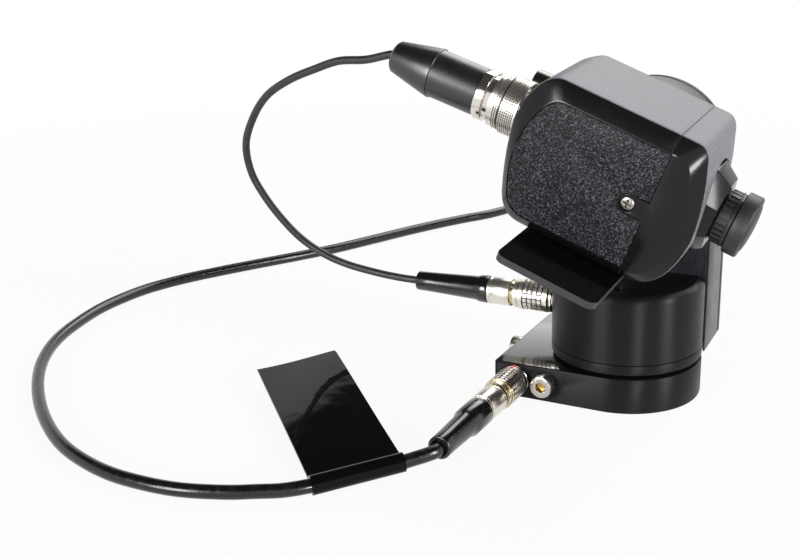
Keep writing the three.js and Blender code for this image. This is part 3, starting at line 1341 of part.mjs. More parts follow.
// Tape flag: wrapped once round the cable, its two plies pressed together
function buildFlag() {
  const { width, length, plyThickness, wrapThickness, lowerLonger, rise } = flag;
  const inside = dataCable.radius + 2 * fit.seat;
  const outside = inside + wrapThickness;
  const ply = 2 * plyThickness;
  const shape = new THREE.Shape();
  const lean = Math.asin(ply / outside);
  shape.moveTo(outside * Math.cos(lean), ply);
  shape.absarc(0, 0, outside, lean, 2 * Math.PI, false);
  shape.lineTo(length + lowerLonger, rise);
  shape.lineTo(length + lowerLonger, rise + plyThickness);
  shape.lineTo(length, rise + plyThickness);
  shape.lineTo(length, rise + ply);
  const hole = new THREE.Path();
  hole.absarc(0, 0, inside, 0, 2 * Math.PI, true);
  shape.holes.push(hole);
  const skew = new THREE.Matrix4().makeShear(flag.skewShare, 0, 0, 0, 0, 0);
  const strip = stood(prism(shape, -width / 2, width / 2, sides.small / 2)).transform(skew.elements);
  const mesh = add(head, 'label_flag', strip, tape);
  const [from, to] = flag.between.map((i) => {
    const [x, y, lift] = dataRoute[i];
    return new THREE.Vector3(x, y, dataCable.radius + lift);
  });
  const along = to.clone().sub(from).normalize();
  const across = new THREE.Vector3().crossVectors(along, new THREE.Vector3(0, 0, 1)).normalize();
  const up = new THREE.Vector3().crossVectors(across, along);
  mesh.position.copy(from).add(to).divideScalar(2);
  mesh.quaternion.setFromRotationMatrix(new THREE.Matrix4().makeBasis(across, along, up));
}

buildBase();
buildSpindle();
buildPanDrive();
buildHousing();
buildDrumFloor();
buildArmCover();
buildTiltDrive();
buildPorts();
buildCameraShells();
buildSideScrews();
buildLens();
buildRearConnectors();
buildBracket();
buildLinkCable();
buildDataCable();
buildCoil();
buildFlag();

export default head;
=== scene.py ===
"""Remote pan and tilt head that carries a small box camera, with its plugs and cables.

Metres, Z up. The pan axis stands at the origin, on the underside of the base, and the base
block's front edge runs along X. Every piece is modelled in the frame of the part that carries
it and then placed, so its finished object sits at the origin.
"""

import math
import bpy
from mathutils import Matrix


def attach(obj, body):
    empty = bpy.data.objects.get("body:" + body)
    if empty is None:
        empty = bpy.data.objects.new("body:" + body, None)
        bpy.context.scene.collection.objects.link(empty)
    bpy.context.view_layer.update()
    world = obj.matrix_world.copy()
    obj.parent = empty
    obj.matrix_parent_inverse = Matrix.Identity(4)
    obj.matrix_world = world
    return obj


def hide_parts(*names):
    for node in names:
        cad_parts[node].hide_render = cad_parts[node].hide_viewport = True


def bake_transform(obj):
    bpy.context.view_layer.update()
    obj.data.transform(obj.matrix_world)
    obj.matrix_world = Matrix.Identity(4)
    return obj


bl_info = {
    "name": "Pan and Tilt Head",
    "version": (1, 0, 0),
    "blender": (4, 5, 0),
    "location": "View3D > Sidebar > Pan Head",
    "description": "Builds a small motorised pan and tilt head with its box camera and cables",
    "category": "Add Mesh",
}

import bmesh
import bpy
from bpy.props import FloatProperty, FloatVectorProperty, IntProperty, PointerProperty
from bpy.types import Operator, Panel, PropertyGroup
from mathutils import Matrix, Vector

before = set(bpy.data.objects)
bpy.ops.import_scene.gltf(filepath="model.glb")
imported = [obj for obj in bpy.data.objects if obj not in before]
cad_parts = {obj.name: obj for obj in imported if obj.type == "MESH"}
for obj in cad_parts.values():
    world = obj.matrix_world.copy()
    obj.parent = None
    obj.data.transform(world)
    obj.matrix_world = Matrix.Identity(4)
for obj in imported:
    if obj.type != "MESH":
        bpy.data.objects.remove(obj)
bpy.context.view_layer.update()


def linear(text):
    """Turn an sRGB hex colour into the linear values that a shader takes."""
    values = [int(text[i : i + 2], 16) / 255 for i in (1, 3, 5)]
    return [v / 12.92 if v <= 0.04045 else ((v + 0.055) / 1.055) ** 2.4 for v in values] + [1.0]


def length(name, default, description):
    """A size in metres that a user can change."""
    return FloatProperty(
        name=name, description=description, default=default, unit="LENGTH", precision=5
    )


def angle(name, default, description):
    """An angle, given in degrees, that a user can change."""
    return FloatProperty(
        name=name, description=description, default=math.radians(default), subtype="ANGLE",
        unit="ROTATION",
    )


def count(name, default, description):
    """A number of like things that a user can change."""
    return IntProperty(name=name, description=description, default=default, min=1)


def colour(name, default, description):
    """A colour, given as an sRGB hex value, that a user can change."""
    return FloatVectorProperty(
        name=name, description=description, default=linear(default), size=4, subtype="COLOR",
        min=0, max=1,
    )


# Sizes and colours


class RestPose(PropertyGroup):
    """How the head stands at rest."""

    pan: angle("Pan", 2.24, "Turn of the head on its base")
    tilt: angle("Tilt", 21.8, "How far the camera's nose points down")
    sag: angle("Sag", 2.2, "Lean of the shelf, higher at the arm")
    sag_near: length("Sag pivot", -0.037, "Place across the head where the lean starts")
    sag_up: length("Sag height", 0.004, "Height over the tilt axis where the lean starts")
    lean: angle("Connector lean", 3.0, "Upward lean of the camera's rear connectors")


class BaseSizes(PropertyGroup):
    """The base block, its underside and its screws."""

    radius: length("Radius", 0.023, "Radius of the round end and half the width")
    thickness: length("Thickness", 0.011, "Height of the block")
    reach: length("Reach", 0.0344, "Distance from the pan axis to the square end")
    edge: length("Edge", 0.0005, "Width of the broken edges")
    cover_left: length("Cover left", 0.0322, "Reach of the underside cover to the square end")
    cover_right: length("Cover right", 0.016, "Reach of the underside cover to the round end")
    cover_half: length("Cover half width", 0.0105, "Half the width of the underside cover")
    cover_corner: length("Cover corner", 0.004, "Corner radius of the underside cover")
    cover_depth: length("Cover recess", 0.00232, "Depth of the cover's recess")
    cover_fit: length("Cover fit", 0.00032, "Gap round the underside cover")
    mount_x: length("Mounting hole X", -0.009, "Place of the mounting holes along the base")
    mount_y: length("Mounting hole Y", 0.016, "Place of the mounting holes across the base")
    mount_radius: length("Mounting hole radius", 0.00255, "Radius of the mounting holes")
    mount_depth: length("Mounting hole depth", 0.008, "Depth of the mounting holes")
    port_x: length("Port X", -0.0275, "Place of the data port along the front")
    port_z: length("Port height", 0.0058, "Height of the data port's axis")
    screw_x: length("Front screw X", -0.0176, "Place of the front screw")
    screw_y: length("Side screw Y", 0.001, "Place of the side screw")
    screw_z: length("Screw height", 0.0063, "Height of both cap screws")
    screw_head: length("Screw head radius", 0.00345, "Radius of a cap screw's head")
    screw_rise: length("Screw head height", 0.0039, "Height of a cap screw's head")
    screw_hex: length("Hex size", 0.00173, "Radius over the corners of the hex socket")
    screw_hex_depth: length("Hex depth", 0.002, "Depth of the hex socket")
    screw_seat: length("Screw seat", 0.00032, "Gap under a cap screw's head")


class HeadSizes(PropertyGroup):
    """The turning drum, its floor and the upright arm."""

    drum_radius: length("Drum radius", 0.023, "Radius of the drum and half the arm's width")
    floor_bottom: length("Floor underside", 0.01215, "Height of the drum floor's underside")
    floor_top: length("Floor top", 0.0153, "Height of the drum floor's top")
    housing_bottom: length("Housing underside", 0.01562, "Height where the drum's wall starts")
    drum_top: length("Drum top", 0.03645, "Height of the drum's top face")
    fillet: length("Drum fillet", 0.0024, "Radius round the drum's top edge")
    edge: length("Arm edge", 0.0004, "Width of the arm's broken edges")
    arm_inner: length("Arm inner face", 0.0058, "Place of the arm's inner face")
    arm_far: length("Arm far face", 0.02338, "Place where the arm's housing ends")
    cover_inner: length("Cover inner face", 0.0237, "Place where the arm's cover starts")
    cover_far: length("Cover far face", 0.0263, "Place of the arm cover's outer face")
    axis_height: length("Tilt axis height", 0.07, "Height of the tilt axis")
    bearing: length("Bearing seat", 0.00654, "Radius of the arm's bearing seat")
    lid_x: length("Lid screw X", 0.001, "Place of the drum's top screw along the head")
    lid_y: length("Lid screw Y", -0.0146, "Place of the drum's top screw across the head")
    lid_radius: length("Lid screw hole", 0.00252, "Radius of the hole over the top screw")
    lid_depth: length("Lid screw depth", 0.00282, "Depth of the hole over the top screw")
    link_height: length("Link port height", 0.0257, "Height of the link port's axis")


class BracketSizes(PropertyGroup):
    """The tilting shelf and its upright."""

    shift: length("Shift", 0.0008, "Centre of the shelf along the camera")
    half: length("Half length", 0.015, "Half the shelf's length along the camera")
    reach: length("Reach", -0.0594, "Place of the shelf's free edge")
    corner: length("Corner", 0.003, "Radius of the shelf's corners")
    shelf_top: length("Shelf top", -0.01782, "Height of the shelf's top below the tilt axis")
    shelf_low: length("Shelf underside", -0.01982, "Height of the shelf's underside")
    upright: length("Upright inner face", 0.0022, "Place of the upright's inner face")
    upright_far: length("Upright far face", 0.0046, "Place of the upright's far face")
    head: length("Head radius", 0.011, "Radius of the upright round the tilt axis")
    flare: length("Flare", 0.0075, "Height over which the upright narrows")
    shaft: length("Shaft hole", 0.00432, "Radius of the hole for the tilt shaft")
    edge: length("Edge", 0.0003, "Width of the bracket's broken edges")


class CameraSizes(PropertyGroup):
    """The camera's body, panels, lens and side screws, from the tilt axis."""

    rear: length("Rear", -0.0289, "Rearmost place of the body")
    front: length("Front", 0.0288, "Foremost place of the body")
    bottom: length("Underside", -0.0175, "Height of the underside")
    top: length("Top", 0.026, "Height of the top")
    near: length("Near side", -0.039, "Place of the near side")
    far: length("Far side", 0.001, "Place of the far side")
    bevel: length("Bevel", 0.0026, "Width of the bevel round each side")
    far_round: length("Far round", 0.009, "Length over which the far end draws in")
    far_taper: FloatProperty(
        name="Far taper", description="Share by which the far end draws in", default=0.045
    )
    seam: length("Seam", 0.015, "Place where the two shells meet")
    gap: length("Seam gap", 0.0002, "Width of the seam between the shells")
    tab_half: length("Tab half width", 0.0027, "Half the width of the tab round the side screw")
    tab_depth: length("Tab depth", 0.0022, "Depth of the tab")
    panel_sink: length("Panel sink", 0.0001, "How far the side panels sit below their rim")
    panel_floor: length("Panel recess", 0.00177, "Depth of a side panel's recess")
    panel_back: length("Panel back", 0.00145, "Depth of a side panel's inner face")
    screw_along: length("Side screw along", 0.0094, "Place of the side screws along the body")
    screw_up: length("Side screw height", 0.0031, "Height of the side screws")
    screw_radius: length("Side screw radius", 0.00205, "Radius of a side screw's head")
    screw_height: length("Side screw head", 0.0011, "Height of a side screw's head")
    screw_cross: length("Cross reach", 0.0012, "Half the length of the cross slot")
    screw_slot: length("Cross slot", 0.0003, "Half the width of the cross slot")
    pocket: length("Lens pocket radius", 0.0143, "Radius of the flat seat round the lens")
    pocket_floor: length("Lens pocket floor", 0.0246, "Place of the flat seat round the lens")
    lens_along: length("Lens across", -0.019, "Place of the lens axis across the body")
    lens_up: length("Lens height", 0.0045, "Height of the lens axis")
    neck_radius: length("Neck radius", 0.0129, "Half width of the eight-sided neck at its root")
    neck_tip: length("Neck tip", 0.0099, "Half width of the neck at its tip")
    neck_rim: length("Neck rim", 0.0009, "Straight length at the neck's root")
    neck_length: length("Neck length", 0.0058, "Length of the neck")
    barrel: length("Barrel radius", 0.007, "Radius of the lens barrel")
    barrel_face: length("Barrel face", 0.03762, "Place of the barrel's front")
    ring_back: length("Ring back", 0.03112, "Place where the focus ring starts")
    ring_face: length("Ring face", 0.03522, "Place where the focus ring ends")
    ring_radius: length("Ring radius", 0.0079, "Radius over the focus ring's ribs")
    ring_ribs: count("Ring ribs", 28, "Ribs round the focus ring")
    rib_depth: length("Rib depth", 0.00045, "Depth of the grooves in the focus ring")
    cap_back: length("Cap back", 0.03554, "Place where the lens cap starts")
    cap_face: length("Cap face", 0.03974, "Place of the lens cap's rim")
    cap_radius: length("Cap radius", 0.009, "Radius of the lens cap")
    cap_dome: length("Cap dome", 0.001, "Rise of the cap's domed face")
    cap_dome_radius: length("Cap dome radius", 0.0072, "Radius of the cap's domed face")
    cap_wall: length("Cap wall", 0.0014, "Thickness of the cap")


class PlugSizes(PropertyGroup):
    """The round push-pull plugs and their sockets."""

    fit: length("Fit", 0.00032, "Gap between touching pieces")
    socket: length("Socket radius", 0.00475, "Radius of a socket's ring")
    socket_rise: length("Socket rise", 0.0013, "How far a socket's ring stands out")
    bore: length("Socket bore", 0.0031, "Radius of a socket's bore")
    sleeve: length("Sleeve radius", 0.00485, "Radius over the knurled sleeve")
    band: length("Band radius", 0.00445, "Radius of the sleeve's smooth rear band")
    neck: length("Neck radius", 0.0036, "Radius of the body inside the sleeve")
    collar: length("Collar radius", 0.0044, "Radius of the collar and of the boot's front")
    travel: length("Latch travel", 0.0011, "How far the sleeve slides back")
    tooth: length("Knurl pitch", 0.0016, "Pitch of the knurl along the sleeve")
    groove: length("Knurl groove", 0.00048, "Width of the knurl's grooves")
    depth: length("Knurl depth", 0.00026, "Depth of the knurl's grooves")
    around: count("Knurl teeth", 20, "Teeth round the sleeve")
    nose: length("Nose radius", 0.00275, "Radius of the nose in the socket")
    nose_length: length("Nose length", 0.0064, "Length of the nose in the socket")
    mark: length("Mark size", 0.00075, "Radius of the red alignment marks")


class LinkPlugSizes(PropertyGroup):
    """Lengths along the slim cable's plug."""

    knurl: length("Knurl", 0.0099, "Length of the knurled sleeve")
    rear_band: length("Rear band", 0.0017, "Length of the sleeve's smooth rear band")
    collar: length("Collar", 0.0075, "Length of the collar")
    boot: length("Boot", 0.0253, "Length of the rubber boot")
    shoulder: length("Boot shoulder", 0.003, "Length of the boot's wide front")
    waist: length("Boot waist", 0.0039, "Radius of the boot behind its front")
    end: length("Boot end", 0.0031, "Radius of the boot's end")
    cable: length("Cable radius", 0.00125, "Radius of the cable")


class DataPlugSizes(PropertyGroup):
    """Lengths along the data cable's plugs."""

    knurl: length("Knurl", 0.011, "Length of the knurled sleeve")
    rear_band: length("Rear band", 0.002, "Length of the sleeve's smooth rear band")
    collar: length("Collar", 0.0098, "Length of the collar")
    boot: length("Boot", 0.0262, "Length of the rubber boot")
    shoulder: length("Boot shoulder", 0.0085, "Length of the boot's wide front")
    waist: length("Boot waist", 0.0038, "Radius of the boot behind its front")
    end: length("Boot end", 0.0034, "Radius of the boot's end")
    cable: length("Cable radius", 0.002, "Radius of the cable")


class RearSizes(PropertyGroup):
    """The camera's power plug and coax socket, behind the camera's rear."""

    power_along: length("Power across", -0.021, "Place of the power plug across the body")
    power_up: length("Power height", 0.0074, "Height of the power plug's axis")
    coax_along: length("Coax across", -0.0051, "Place of the coax socket across the body")
    coax_up: length("Coax height", 0.0107, "Height of the coax socket's axis")
    ring_front: length("Ring front", -0.0017, "Place where the sliding ring starts")
    ring_middle: length("Ring middle", -0.0071, "Place of the groove in the sliding ring")
    ring_rear: length("Ring rear", -0.0109, "Place where the sliding ring ends")
    ring_radius: length("Ring radius", 0.0086, "Radius of the ring's front band")
    ring_waist: length("Ring waist", 0.0081, "Radius of the ring's rear band")
    groove: length("Ring groove", 0.0004, "Width and depth of the ring's groove")
    neck: length("Neck radius", 0.0064, "Radius of the plug inside its ring")
    collar_front: length("Collar front", -0.01282, "Place where the plug's collar starts")
    collar_rear: length("Collar rear", -0.01562, "Place where the plug's collar ends")
    collar: length("Collar radius", 0.0076, "Radius of the plug's collar")
    boot_front: length("Boot front", -0.01594, "Place where the boot starts")
    boot_step: length("Boot step", -0.03094, "Place of the step in the boot")
    boot_end: length("Boot end", -0.04514, "Place where the boot ends")
    boot: length("Boot radius", 0.0071, "Radius of the boot's straight part")
    boot_lip: length("Boot lip", 0.00745, "Radius of the boot just behind its step")
    boot_tip: length("Boot tip", 0.0048, "Radius of the boot's end")
    coax: length("Coax radius", 0.0044, "Radius of the coax socket")
    coax_length: length("Coax length", 0.0066, "Length of the coax socket")
    coax_flange: length("Coax flange", 0.006, "Radius of the coax socket's flange")
    coax_bore: length("Coax bore", 0.0031, "Radius of the coax socket's bore")
    coax_depth: length("Coax depth", 0.005, "Depth of the coax socket's bore")
    coax_pin: length("Coax pin", 0.0008, "Radius of the coax socket's pin")


class CordSizes(PropertyGroup):
    """The data cable's coil, the slim cable's bend and the tape flag."""

    coil_x: length("Coil X", -0.078, "Centre of the coil along the base")
    coil_y: length("Coil Y", 0.205, "Centre of the coil across the base")
    coil_outer: length("Coil radius", 0.0284, "Radius of the coil's outer turn")
    coil_pitch: length("Coil pitch", 0.0046, "Distance from one turn to the next")
    coil_rise: length("Layer rise", 0.0045, "Height from one layer to the next")
    coil_dip: length("Layer dip", 0.0014, "How far the climbing half turn draws in")
    coil_turns: count("Coil turns", 3, "Turns in each of the two layers")
    coil_straight: length("Straight", 0.004, "Straight lead into the coil")
    coil_tail: length("Tail", 0.034, "Free length from the coil to the far plug")
    far_height: length("Far plug height", 0.005, "Height of the far plug's axis")
    bend_back: length("Bend back", 0.0372, "Reach of the slim cable's bend behind its upper plug")
    bend_down: length("Bend down", 0.052, "Reach of the slim cable's bend below its upper plug")
    flag_width: length("Flag width", 0.026, "Width of the tape flag along the cable")
    flag_length: length("Flag length", 0.077, "Length of the tape flag from the cable")
    flag_ply: length("Flag ply", 0.0004, "Thickness of one ply of the flag")
    flag_wrap: length("Flag wrap", 0.0005, "Thickness of the tape round the cable")
    flag_longer: length("Flag lower ply", 0.002, "How far the lower ply is longer")
    flag_rise: length("Flag rise", 0.0014, "Rise of the flag's free end")
    flag_skew: FloatProperty(
        name="Flag skew", description="Shear of the flag along the cable", default=-0.063
    )


class FinishColours(PropertyGroup):
    """Base colours of the finishes."""

    anodised: colour("Anodised", "#0f0f11", "Black dye of the machined aluminium")
    # The shell's grey is paler than the coat itself, a painted sheen of the light from above
    shell: colour("Camera shell", "#646368", "Grained coat of the camera's shells")
    # The rim colour is the same coat painted near black, a painted shade on the sides and bevels
    rim: colour("Camera rim", "#0e0e10", "Smooth coat of the camera's bevels")
    panel: colour("Side panel", "#0d0c0e", "Coat of the camera's side panels")
    sparkle: colour("Panel sparkle", "#69676e", "Flecks in the side panels' coat")
    nickel: colour("Nickel", "#dfdad1", "Nickel plate")
    gold: colour("Gold line", "#cdbf98", "Warm band of the plugs")
    steel: colour("Stainless", "#bfbbb5", "Stainless steel")
    brass: colour("Brass", "#b59a5b", "Plain brass")
    rubber: colour("Rubber", "#0c0c0d", "Moulded rubber of the boots")
    cap: colour("Lens cap", "#131315", "Moulded lens cap and lens mount")
    link: colour("Link cable", "#1c1c1f", "Jacket of the slim cable")
    data: colour("Data cable", "#0b0b0d", "Jacket of the data cable")
    tape: colour("Tape", "#070708", "Glossy tape")
    mark: colour("Mark", "#e8301f", "Red alignment marks")
    board: colour("Board", "#1f4a33", "Circuit board")
    glass: colour("Glass", "#1c222a", "Coated lens glass")
    floor: colour("Floor", "#dedede", "Pale floor")


class HeadProperties(PropertyGroup):
    """All sizes and colours of the head."""

    rest: PointerProperty(type=RestPose)
    base: PointerProperty(type=BaseSizes)
    head: PointerProperty(type=HeadSizes)
    bracket: PointerProperty(type=BracketSizes)
    camera: PointerProperty(type=CameraSizes)
    plug: PointerProperty(type=PlugSizes)
    link: PointerProperty(type=LinkPlugSizes)
    data: PointerProperty(type=DataPlugSizes)
    rear: PointerProperty(type=RearSizes)
    cord: PointerProperty(type=CordSizes)
    colours: PointerProperty(type=FinishColours)


def sizes():
    """The scene's sizes and colours."""
    return bpy.context.scene.pan_tilt_head


# Frames of the moving parts at rest

QUARTER_LEFT = Matrix.Rotation(math.pi / 2, 4, "Z")
QUARTER_RIGHT = Matrix.Rotation(-math.pi / 2, 4, "Z")


def head_frame():
    """The panned head's frame: its X runs along the camera, its Y towards the arm."""
    return Matrix.Rotation(sizes().rest.pan, 4, "Z")


def tilt_frame():
    """The tilted bracket's frame, on the tilt axis."""
    lift = Matrix.Translation((0, 0, sizes().head.axis_height))
    return head_frame() @ lift @ Matrix.Rotation(sizes().rest.tilt, 4, "Y")


def camera_frame():
    """The camera's frame: the tilted frame with the shelf's small lean."""
    rest = sizes().rest
    pivot = Matrix.Translation((0, rest.sag_near, rest.sag_up))
    return tilt_frame() @ pivot @ Matrix.Rotation(rest.sag, 4, "X") @ pivot.inverted()


def lens_frame():
    """The lens's frame: X runs out along the lens axis."""
    camera = sizes().camera
    return camera_frame() @ Matrix.Translation((0, camera.lens_along, camera.lens_up))


def rear_frame(along, up):
    """The frame of a connector in the camera's rear, leaning a little; it points out along -X."""
    rest, rear = sizes().rest, sizes().rear
    seat = Matrix.Translation((sizes().camera.rear, 0, rear.power_up))
    lean = Matrix.Rotation(-rest.lean, 4, "Y")
    return camera_frame() @ seat @ lean @ Matrix.Translation((0, along, up - rear.power_up))


def data_frame():
    """The data port's frame: X points into the base."""
    base = sizes().base
    seat = Matrix.Translation((base.port_x, -base.radius, base.port_z))
    return seat @ QUARTER_LEFT


def link_frame():
    """The link port's frame: X points into the drum."""
    head = sizes().head
    return head_frame() @ Matrix.Translation((-head.drum_radius, 0, head.link_height))


# Modelling helpers

# Gap between two pieces that touch, and the bore of what goes over the lens barrel or a plug
FIT = 0.00032
# How far a cutting tool reaches past the surface that it cuts
PAST = 0.001
# Room in the tests that pick faces by their place
MARGIN = 0.0001


def only(piece):
    """Make one object the selected and active one."""
    bpy.ops.object.select_all(action="DESELECT")
    piece.select_set(True)
    bpy.context.view_layer.objects.active = piece


def just_added(name):
    """Name the primitive that was just added."""
    piece = bpy.context.object
    piece.name = piece.data.name = name
    return piece


def edit(piece):
    """Enter edit mode on one object with everything selected, vertex by vertex."""
    only(piece)
    bpy.context.tool_settings.mesh_select_mode = (True, False, False)
    bpy.ops.object.mode_set(mode="EDIT")
    bpy.ops.mesh.select_all(action="SELECT")


def done():
    """Leave edit mode."""
    bpy.ops.object.mode_set(mode="OBJECT")


def close_up():
    """In edit mode, merge what coincides and point all faces outwards."""
    bpy.ops.mesh.select_all(action="SELECT")
    bpy.ops.mesh.remove_doubles(threshold=1e-6)
    bpy.ops.mesh.normals_make_consistent(inside=False)
    done()


def pick(piece, wanted):
    """In edit mode, select the faces whose centre and normal a test wants."""
    bpy.context.tool_settings.mesh_select_mode = (False, False, True)
    bpy.ops.mesh.select_all(action="DESELECT")
    mesh = bmesh.from_edit_mesh(piece.data)
    for face in mesh.faces:
        face.select_set(bool(wanted(face.calc_center_median(), face.normal)))
    bmesh.update_edit_mesh(piece.data)


def turned(name, profile, sides=64, closed=False):
    """A piece turned about X from a profile of (along, radius), closed where it is a tube."""
    bpy.ops.object.select_all(action="DESELECT")
    bpy.ops.mesh.primitive_plane_add(size=0.001)
    piece = just_added(name)
    edit(piece)
    bpy.ops.mesh.merge(type="CENTER")
    points = [Vector((along, 0, radius)) for along, radius in profile]
    bpy.ops.transform.translate(value=points[0])
    for before, after in zip(points, points[1:] + points[:1] if closed else points[1:]):
        bpy.ops.mesh.extrude_vertices_move(TRANSFORM_OT_translate={"value": after - before})
    bpy.ops.mesh.select_all(action="SELECT")
    bpy.ops.mesh.spin(steps=sides, angle=math.tau, center=(0, 0, 0), axis=(1, 0, 0))
    close_up()
    return piece


def lofted(name, rings):
    """A skin through equal rings of points, closed by a face at each end."""
    bpy.ops.object.select_all(action="DESELECT")
    bpy.ops.mesh.primitive_circle_add(vertices=len(rings[0]), radius=0.001, fill_type="NGON")
    piece = just_added(name)
    for vertex, point in zip(piece.data.vertices, rings[0]):
        vertex.co = point
    edit(piece)
    for before, after in zip(rings, rings[1:]):
        bpy.ops.mesh.extrude_region_move()
        mesh = bmesh.from_edit_mesh(piece.data)
        for vertex in [v for v in mesh.verts if v.select]:
            at = min(range(len(before)), key=lambda i: (before[i] - vertex.co).length_squared)
            vertex.co = after[at]
        bmesh.update_edit_mesh(piece.data)
    close_up()
    return piece


def arc(x, y, radius, start, end, steps):
    """Points of an arc, with its angles in degrees."""
    angles = [math.radians(start + (end - start) * i / steps) for i in range(steps + 1)]
    return [(x + radius * math.cos(a), y + radius * math.sin(a)) for a in angles]


def rounded_rectangle(x0, x1, y0, y1, radius, steps=8):
    """The outline of a rectangle with round corners."""
    return (
        arc(x1 - radius, y0 + radius, radius, -90, 0, steps)
        + arc(x1 - radius, y1 - radius, radius, 0, 90, steps)
        + arc(x0 + radius, y1 - radius, radius, 90, 180, steps)
        + arc(x0 + radius, y0 + radius, radius, 180, 270, steps)
    )


def lying(name, outline, low, high):
    """A plate with an outline in X and Y, from one height to another."""
    return lofted(name, [[Vector((x, y, z)) for x, y in outline] for z in (low, high)])


def upright(name, outline, near, far):
    """A plate with an outline in X and Z, from one place along Y to another."""
    return lofted(name, [[Vector((x, y, z)) for x, z in outline] for y in (near, far)])


def rod(start, end, radius, sides=48):
    """A round bar between two points, used as a tool or a start."""
    start, end = Vector(start), Vector(end)
    turn = (end - start).to_track_quat("Z", "Y").to_euler()
    bpy.ops.object.select_all(action="DESELECT")
    bpy.ops.mesh.primitive_cylinder_add(
        vertices=sides, radius=radius, depth=(end - start).length, location=(start + end) / 2,
        rotation=turn,
    )
    return just_added("rod")


def slab(low, high):
    """A block between two corners, used as a tool or a start."""
    low, high = Vector(low), Vector(high)
    bpy.ops.object.select_all(action="DESELECT")
    bpy.ops.mesh.primitive_cube_add(size=1, location=(low + high) / 2, scale=high - low)
    return just_added("slab")


def combined(piece, tool, operation):
    """Join, cut or keep with another object, which is used up."""
    only(piece)
    change = piece.modifiers.new("Combine", "BOOLEAN")
    change.operation = operation
    change.solver = "EXACT"
    change.object = tool
    bpy.ops.object.modifier_apply(modifier=change.name)
    bpy.data.objects.remove(tool)
    return piece


def cut(piece, *tools):
    """Cut one piece with several tools."""
    for tool in tools:
        combined(piece, tool, "DIFFERENCE")
    return piece


def joined(piece, *others):
    """Join several pieces into one solid."""
    for other in others:
        combined(piece, other, "UNION")
    return piece


def copied(piece, name):
    """A copy of a piece with its own mesh."""
    twin = piece.copy()
    twin.data = piece.data.copy()
    twin.name = twin.data.name = name
    bpy.context.collection.objects.link(twin)
    return twin


def eased(piece, width, segments=2, sharper=35, lit=False):
    """Round the sharp edges; where lit, the new faces take the piece's second material, a paler
    edge colour that is partly painted highlight.
    """
    only(piece)
    edge = piece.modifiers.new("Edges", "BEVEL")
    edge.width = width
    edge.segments = segments
    edge.limit_method = "ANGLE"
    edge.angle_limit = math.radians(sharper)
    edge.material = 1 if lit else -1
    bpy.ops.object.modifier_apply(modifier=edge.name)
    return piece


def off_axis(place):
    """How far a place lies from the X axis."""
    return math.hypot(place.y, place.z)


def knurled(piece, sides, rows, bore, rise):
    """Raise the teeth of a knurl on a turned piece: in each row, two faces of three round it."""

    def tooth(centre, normal):
        around = int((math.atan2(centre.z, centre.y) / math.tau * sides) % sides)
        row = any(end < centre.x < start for end, start in rows)
        return row and around % 3 != 2 and off_axis(centre) > bore + MARGIN

    edit(piece)
    pick(piece, tooth)
    bpy.ops.mesh.extrude_region_move()
    bpy.ops.transform.resize(value=(1, rise, rise), center_override=(0, 0, 0))
    done()
    return piece


def settled(piece, place, body, finishes, nodes=(), smooth=32):
    """Put a piece in its place, give it the named finishes, and let it ride on its body."""
    piece.matrix_world = place @ piece.matrix_world
    only(piece)
    bpy.ops.object.transform_apply(location=True, rotation=True, scale=True)
    bpy.ops.object.shade_smooth_by_angle(angle=math.radians(smooth))
    while len(piece.data.materials) < len(finishes):
        piece.data.materials.append(None)
    for index, name in enumerate(finishes):
        piece.data.materials[index] = finish(name)
    if nodes:
        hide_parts(*nodes)
    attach(piece, body)
    return piece


def painted(piece, index, wanted):
    """Give the wanted faces another of the piece's materials."""
    for face in piece.data.polygons:
        if wanted(face.center, face.normal):
            face.material_index = index
    return piece


# Materials


def add_node(tree, kind, inputs=(), output=None, **settings):
    """Add a node with its inputs, by name or in order, and give it or the output asked for."""
    made = tree.nodes.new(kind)
    for key, value in settings.items():
        setattr(made, key, value)
    for key, value in inputs.items() if isinstance(inputs, dict) else enumerate(inputs):
        if isinstance(value, bpy.types.NodeSocket):
            tree.links.new(value, made.inputs[key])
        else:
            made.inputs[key].default_value = value
    return made if output is None else made.outputs[output]


def fresh_material(name):
    """An empty material, and the place of each point in the object's own frame."""
    material = bpy.data.materials.new(name)
    material.use_nodes = True
    material.node_tree.nodes.clear()
    return material, add_node(material.node_tree, "ShaderNodeTexCoord", output="Object")


def shade(colour, factor=1.0):
    """One of the finishes' colours, made darker or paler by a factor."""
    base = getattr(sizes().colours, colour)
    return [min(1.0, c * factor) for c in base[:3]] + [1.0]


def surfaced(material, colours, share, inputs, relief=None):
    """Give a material its surface, of a colour between two by a share.

    The relief is a height and its depth in metres, and may have a strength after them.
    """
    tree = material.node_tree
    mixed = {"Factor": share, "A": colours[0], "B": colours[1]}
    ground = add_node(tree, "ShaderNodeMix", mixed, "Result", data_type="RGBA")
    inputs = {"Base Color": ground, **inputs}
    if relief:
        bump = dict(zip(("Height", "Distance", "Strength"), relief))
        inputs["Normal"] = add_node(tree, "ShaderNodeBump", bump, "Normal")
    shader = add_node(tree, "ShaderNodeBsdfPrincipled", inputs, "BSDF")
    add_node(tree, "ShaderNodeOutputMaterial", {"Surface": shader})
    return material


